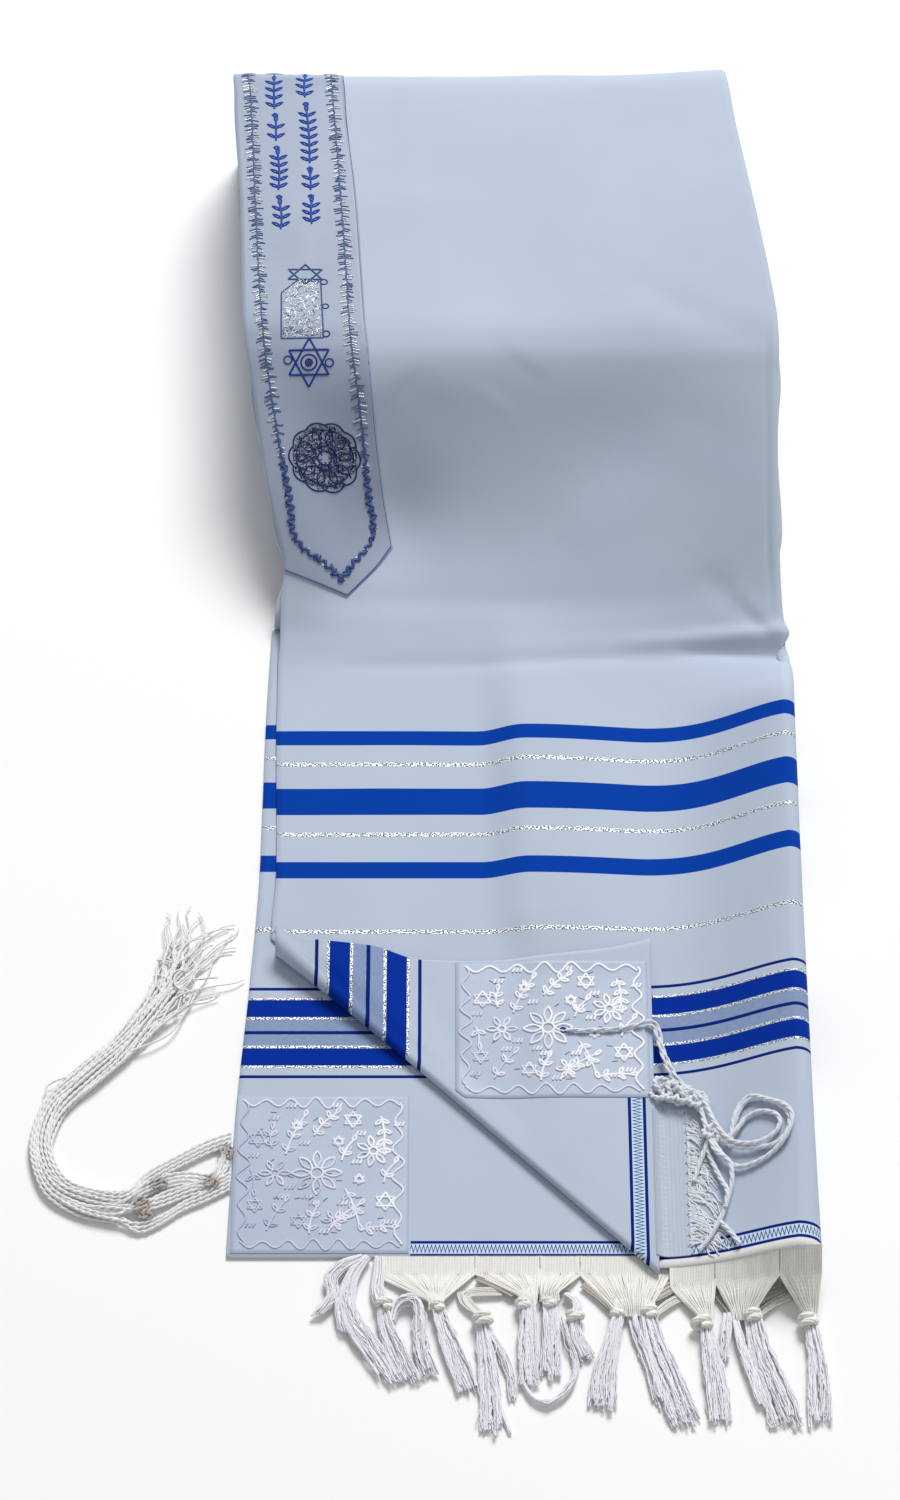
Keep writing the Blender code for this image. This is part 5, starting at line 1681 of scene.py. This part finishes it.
def makeFringe(name):
    look = fringe[name]
    header, loose = Lines(), Lines()
    addFans(header, look)
    addCrossings(header, look)
    for number, (*centre, ahead, radius) in enumerate(look["knots"]):
        wrapKnot(header, centre, ahead, radius, look["seed"] + number, -0.6 + 0.5 * number)
    for number, (strands, route) in enumerate(look["tassels"]):
        bundle(loose, route, int(strands * fringe["strandsFor"]), look["seed"] * 10 + number)
    return (header.sweep(name + "Header", yarn["fringeYarn"], sides=5, spacing=0.0022),
            loose.sweep(name + "Tassels", yarn["tasselYarn"], sides=5, spacing=0.0030, wobble=0.0042,
                        wobbleScale=115.0))


backHeader, backTassels = makeFringe("backFringe")
frontHeader, frontTassels = makeFringe("frontFringe")
print("fringe made")


# corner tassels: twisted strings, knotted near the cloth and frayed at their ends

leftTassel = {
    "plyRadius": 0.62,
    "twist": 8.5,             # mm for one turn of the plies
    "endShort": 26,           # how far before its frayed end a string leaves the bundle
    "brownTintReach": 4.0,
    # threads that cross and tangle just before the ends: their count, middle and spread
    "tangle": (14, (-147, -156), (9, (-16, 14))),
    # each string from the back layer's edge to where the strings gather
    "starts": [
        [(-116.6, -256.5, 1.6), (-130, -262, 1.8), (-147, -272.6, 2.2), (-160, -281.4, 2.6)],
        [(-116.8, -258.9, 1.6), (-130, -264.6, 1.8), (-148, -275.4, 2.2), (-160, -284, 2.6)],
        [(-117.0, -262, 2.2), (-120, -269, 3.2), (-123, -277, 3.4), (-127, -284, 4.2),
         (-136, -281.5, 2.2), (-146, -282, 2.4), (-154, -286, 4.2), (-163, -290, 3.0)],
        [(-117.2, -272, 1.6), (-121, -279, 2.4), (-127, -285.5, 4.0), (-138, -287.4, 2.0),
         (-150, -291.6, 2.2), (-160, -298.0, 3.6)],
        [(-116.6, -281, 1.5), (-127, -287, 2.2), (-138, -290, 1.8), (-150, -295.6, 2.0),
         (-162, -300.5, 3.6)],
        [(-117.0, -266, 2.6), (-121, -274, 2.0), (-127, -287, 2.6), (-140, -284.0, 1.8),
         (-153, -287.6, 2.6), (-163, -293, 2.2)],
        [(-116.4, -284.4, 1.5), (-129, -291.6, 1.6), (-140, -297.2, 1.6), (-152, -306.4, 1.8),
         (-163, -310.6, 2.0)],
        [(-116.4, -287, 1.5), (-129, -294.2, 1.6), (-141, -300, 1.6), (-153, -308.8, 1.6),
         (-164, -313.2, 1.6)],
    ],
    "counts": [3, 3, 3, 2, 3, 2, 2, 2],      # strings that take each way
    "apart": 2.1,                            # between the strings of one way
    # the gathered bundle: x, y, half width
    "route": [(-174, -299.5, 10), (-193, -296, 8.4), (-209, -286, 6.8), (-217.5, -266, 5.6),
              (-215.5, -248, 6.2), (-209, -234, 7.2), (-194, -218, 7.6), (-177, -200, 7.4),
              (-163.5, -181, 7.8), (-153, -164, 9.4), (-146.5, -149, 10.4), (-143.5, -141, 8)],
    # a frayed end for each string, from the bundle's inner side to its outer side
    "ends": [(-115, -154), (-129, -160), (-132, -150), (-117, -137), (-126, -141), (-119.5, -120),
             (-122, -121.5), (-134, -134), (-137, -113), (-141.5, -107.5), (-145, -119), (-148, -110),
             (-153, -124), (-156.5, -111.5)],
    "stray": [(-213, -243, 3), (-215.6, -231, 3.4), (-216.6, -226, 3.2), (-212, -221.8, 3),
              (-205, -219.6, 3.2), (-197, -219.5, 4)],
    # knots: x, y, height, direction, size
    "knots": [(-118.6, -266, 3.2, (0.3, -1), 3.4), (-126.5, -285, 3.4, (-1, -0.5), 3.4),
              (-154, -286, 3.6, (-1, -0.6), 3.8), (-163, -299, 3.8, (-1, -0.7), 4.4),
              (-160, -305, 3.0, (-1, -0.3), 3.0)],
}

frontTassel = {
    "plyRadius": 0.82,
    "knotRadius": 0.95,
    "lowest": 1.9,            # over the cloth
    "twist": 15.0,
    # x, y, height over the cloth
    "ways": [
        [(127, -233, 6), (133.5, -238, 5), (139.4, -250, 4.6), (144.5, -264.5, 4.6), (152, -272.5, 4),
         (163, -276, 3), (173.5, -275.5, 2.8), (179, -268.6, 2.8), (179.4, -260, 2.8), (174.5, -252, 2.8),
         (165.4, -246, 2.6), (158.2, -246, 2.6), (153.8, -252, 2.6), (151, -260.4, 2.8),
         (147, -268.6, 3.4)],
        [(128, -235, 5), (134, -243, 5), (138.5, -260, 4.6), (144, -273, 4.6), (151.6, -284, 3.4),
         (161.4, -284.6, 2.8), (170.7, -280.6, 2.8), (178, -273.4, 4.2), (181.4, -262, 4.2),
         (178, -254.5, 4), (170, -249, 4), (161, -243.5, 3), (155, -247, 2.6), (152, -256, 4),
         (149.5, -272, 4)],
        [(126, -231, 6.2), (136.2, -240, 5.8), (142.5, -256, 6), (150.6, -269, 5.4), (162.2, -273.6, 4.6),
         (171.4, -270.2, 3), (175, -264.5, 2.8), (173.2, -258.3, 2.8), (165.1, -254.1, 2.8),
         (157.8, -256.2, 2.8), (153.5, -262.5, 4.2), (147.5, -268.5, 5)],
        [(136, -252, 5), (139, -262.5, 5.8), (142, -273, 5.8), (149, -281, 5), (150, -291, 4.2),
         (148.1, -299, 3.4), (144, -311, 3.2), (137, -323, 3), (131, -330, 2.8)],
        [(141, -258, 4.4), (138, -266, 4.4), (134.5, -274, 3.6), (131.6, -281, 3), (129.4, -288, 2.8)],
        [(137, -270, 3), (140.4, -281, 3), (144.2, -291, 3), (147.4, -299, 4.6), (146, -308, 4.4)],
        [(141.5, -314, 2.8), (147.8, -323, 2.8), (152, -331, 2.6)],
    ],
    # string from the eyelet round the corner's edge to the knot, laid over the patch
    "toEyelet": [(62.5, -193.5, 1.2), (72, -194.2, 1.6), (90, -193.0, 1.7), (101, -190.5, 2.0),
                 (109, -189, 3.2), (113.5, -195, 3.6), (114.5, -204, 4.2), (118, -214, 5.2),
                 (122, -224, 6.2), (127, -231, 5.4)],
    "secondToEyelet": [(106, -190.5, 2.0), (110, -192.6, 2.4), (112, -200, 3.0), (114.5, -210, 4.0),
                       (118, -220, 5.0), (123, -229, 5.4)],
    # x, y, height, direction, size
    "knots": [(115.5, -231.5, 5.4, (1, -0.4), 7.2), (121, -234, 5.6, (1, -0.8), 6.2),
              (128, -236.5, 5.6, (1, -0.6), 5.4), (134.5, -241, 5.2, (0.7, -1), 4.8),
              (140.5, -262, 5.4, (0.5, -1), 4.2)],
}


def overFront(x, y, lift):
    return frontAt(x, distanceAt(y), lift)[0]


def overCorner(x, y, lift):
    # on the turned corner where it lies, otherwise on the front layer
    hem = turnedCloth["hem"]
    if x < hem and y > frontCloth["foldSum"] - x:
        return turnedAt(x, y, lift + 1.3)[0]
    point = overFront(x, y, lift + 0.6)
    edge = smooth((x - hem) / 10)
    beside = turnedAt(hem - 0.1, y, lift + 1.3)[0]
    point[2] = beside[2] * (1 - edge) + point[2] * edge
    return point


def addString(lines, start, lane, k, picker):
    # one string from the cloth's edge through the bundle; returns its path and where its end lies
    look = leftTassel
    route = np.array(look["route"], float)
    side = sideways(route)
    points = list(start)
    end = np.array([*look["ends"][int((lane + 1) / 2 * len(look["ends"]))], 1.0])
    end[:2] += (picker.uniform(-2, 2), picker.uniform(-3, 1.5))
    for i, (x, y, half) in enumerate(route):
        if i > 6 and y > end[1] - look["endShort"]:
            break
        loose = 0.12 + 0.34 * smooth((i - 7) / 3)
        wander = (lane + loose * math.sin(1.3 * i + 2.3 * k)) * half
        level = 1.5 + 2.6 * (0.5 + 0.5 * math.sin(0.9 * i + 1.9 * k))
        points.append((x + side[i, 0] * wander, y + side[i, 1] * wander, level))
    path = curveThrough(points, 150)
    knots = np.array([knot[:2] for knot in look["knots"]])
    near = np.min(np.linalg.norm(path[:, None, :2] - knots[None], axis=2), axis=1)
    # a brownish tint near the knots
    brownTint = 0.7 * np.exp(-(near / look["brownTintReach"]) ** 2)
    twistedString(lines, path, look["plyRadius"], look["twist"], 2, 0.1 * picker.random(), brownTint)
    return path, end


def addFray(lines, path, end, picker):
    # a thinner ply goes on alone from the string and waves about
    last = path[-1]
    heading = unit(last - path[-8]) * np.linalg.norm(end - last)
    across = np.array([-heading[1], heading[0], 0.0])
    bend = picker.uniform(-0.12, 0.12)
    points = [path[-5]]
    for t in (0.0, 0.25, 0.5, 0.75, 1.0):
        aim = last + heading * t * (1 - t) + (end - last) * t ** 1.3
        points.append(aim + across * (bend * math.sin(pi * t * 1.7) + picker.uniform(-0.03, 0.03)))
    tail = curveThrough(points, 20)
    tail[:, 2] = np.maximum(tail[:, 2], 0.9)
    lines.add(tail, np.linspace(0.75, 0.35, 20), 0.1, 0.0, 0.3)


def makeLeftTassel():
    look = leftTassel
    lines = Lines()
    picker = random.Random(5)
    total = sum(look["counts"])
    k = 0
    for start, count in zip(look["starts"], look["counts"]):
        for copy in range(count):
            shift = (copy - (count - 1) / 2) * look["apart"]
            moved = [(x, y + shift, z + 0.5 * copy) for x, y, z in start]
            path, end = addString(lines, moved, 2 * (k + 0.5) / total - 1, k, picker)
            addFray(lines, path, end, picker)
            last = path[-1]
            end = last + (end - last) * picker.uniform(0.4, 0.75)
            end[:2] += (picker.uniform(-5, 5), picker.uniform(-2, 4))
            addFray(lines, path, end, picker)
            k += 1
    count, middle, (across, along) = look["tangle"]
    for _ in range(count):
        x = middle[0] + picker.uniform(-across, across)
        points = [(x, middle[1] + picker.uniform(*along), picker.uniform(1.5, 5))]
        turn = picker.uniform(0, 2 * pi)
        for _ in range(3):
            turn += picker.uniform(-1.0, 1.0)
            x, y, z = points[-1]
            points.append((x + math.cos(turn) * 4.5, y + math.sin(turn) * 5.5, z + picker.uniform(-1, 1)))
        path = curveThrough(points, 26)
        path[:, 2] = np.clip(path[:, 2], 1.2, 6)
        lines.add(path, look["plyRadius"], 0.1)
    lines.add(curveThrough(look["stray"], 24), 0.7, 0.1)
    for *centre, ahead, size in look["knots"]:
        tieKnot(lines, centre, ahead, size, look["plyRadius"], 0.25, 0.6, 0.7)
    return lines.sweep("cornerTasselLeft", yarn["stringYarn"], sides=6, spacing=0.0019, wobble=0.0005,
                       wobbleScale=110.0)


def makeFrontTassel():
    look = frontTassel
    lines = Lines()
    picker = random.Random(9)
    for way in look["ways"]:
        way = curveThrough(way, 90)
        path = np.array([overFront(x, y, max(lift, look["lowest"])) for x, y, lift in way])
        twistedString(lines, path, look["plyRadius"], look["twist"], 3, shade=0.15 * picker.random())
    for way in (look["toEyelet"], look["secondToEyelet"]):
        path = np.array([overCorner(x, y, lift) for x, y, lift in curveThrough(way, 70)])
        twistedString(lines, path, look["plyRadius"] * 0.8, look["twist"], 2, shade=0.1)
    for *centre, ahead, size in look["knots"]:
        tieKnot(lines, overFront(*centre), ahead, size, look["knotRadius"], 0.05)
    return lines.sweep("cornerTasselFront", yarn["softYarn"], sides=7, spacing=0.0019)


leftTasselPiece = makeLeftTassel()
frontTasselPiece = makeFrontTassel()


# the turned corner's fringe, which lies on the front layer and points away from its hem

cornerFringe = {
    "low": -331,
    "high": -242,
    "pitch": 0.5,
    "stripAcross": (111, 113.5, 116, 119.5, 123),
    "stripEnd": 126,          # the plain strip ends here; loose curls go on from it
    # y of each clump of curls, its reach along x, its half width and its count of strands
    "clumps": [(-321, 17, 5.5, 12), (-312, 21, 6.5, 14), (-303, 15, 6, 11), (-294, 20, 6, 13),
               (-285, 12, 5.5, 10), (-276, 18, 6, 13), (-267, 11, 5.5, 10), (-257, 14, 5.5, 11),
               (-248, 9, 4, 8)],
}


def makeCornerFringe():
    look = cornerFringe
    hem = turnedCloth["hem"]
    lines, loose = Lines(), Lines()
    count = int((look["high"] - look["low"]) / look["pitch"])
    for k, y in enumerate(np.linspace(look["low"], look["high"], count + 1)):
        points = [overCorner(hem - 0.8, y, 0.0)]
        for x in (*look["stripAcross"], look["stripEnd"] + 1.5 * math.sin(k * 0.5)):
            points.append(overFront(x, y, 0.8 + 1.6 * (1 - smooth((x - hem) / 6))))
        lines.add(points, 0.47, 0.06 * (k % 3))
    share = np.linspace(0, 1, 13)
    for number, (middle, reach, half, strands) in enumerate(look["clumps"]):
        picker = random.Random(70 + number)
        bend = picker.uniform(-15, -6)
        for k in range(strands):
            lane = 2 * (k + 0.5) / strands - 1
            curl = picker.uniform(1.2, 3.0) * (1 if k % 2 else -1)
            turns = picker.uniform(1.0, 2.2)
            phase = number + picker.uniform(-1.4, 1.4)
            far = reach * picker.uniform(0.6, 1.0)
            points = []
            for t in share:
                wind = 2 * pi * turns * t
                neck = 1 - 0.45 * math.sin(pi * t)
                x = look["stripEnd"] - 1 + far * t + abs(curl) * 0.5 * math.cos(wind)
                y = middle + lane * half * neck + bend * t * t + curl * t * math.sin(wind + phase)
                points.append(overFront(x, y, 0.7 + 0.7 * abs(math.sin(3.0 * t + k)) * (1 - 0.4 * t)))
            loose.add(points, 0.55 - 0.1 * share, 0.12 * picker.random(), 0.0, smooth(3 * share))
    return (lines.sweep("cornerFringeHeader", yarn["stripYarn"], sides=5, spacing=0.0022),
            loose.sweep("cornerFringeTassels", yarn["softYarn"], sides=5, spacing=0.0028, wobble=0.003,
                        wobbleScale=90.0))


cornerHeader, cornerTassels = makeCornerFringe()
print("corner tassels made")


# what each piece stands for

bodyName = "root"
standFor = [
    (frontPiece, "front_layer", "shawl_cloth"),
    (backPiece, "back_layer", "shawl_cloth"),
    (stackPiece, "hidden_layers", "shawl_cloth"),
    (turnedPiece, "turned_corner", "shawl_cloth"),
    (bandPiece, "neckband", "band_satin"),
    (backPatch, "patch_back", "patch_satin"),
    (frontPatch, "patch_front", "patch_satin"),
    (backHeader, "fringe_back", "fringe_yarn"),
    (backTassels, "fringe_back", "tassel_yarn"),
    (frontHeader, "fringe_front", "fringe_yarn"),
    (frontTassels, "fringe_front", "tassel_yarn"),
    (cornerHeader, "fringe_turned", "fringe_yarn"),
    (cornerTassels, "fringe_turned", "fringe_yarn"),
    (leftTasselPiece, "corner_tassel_left", "tassel_yarn"),
    (frontTasselPiece, "corner_tassel_front", "tassel_yarn"),
]
standFor += [(piece, "neckband", "band_satin") for piece in bandArtPieces]
standFor += [(piece, "patch_back", "patch_satin") for piece in backArtPieces]
standFor += [(piece, "patch_front", "patch_satin") for piece in frontArtPieces]
for piece, node, slotName in standFor:
    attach(piece, bodyName)
    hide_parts(node)
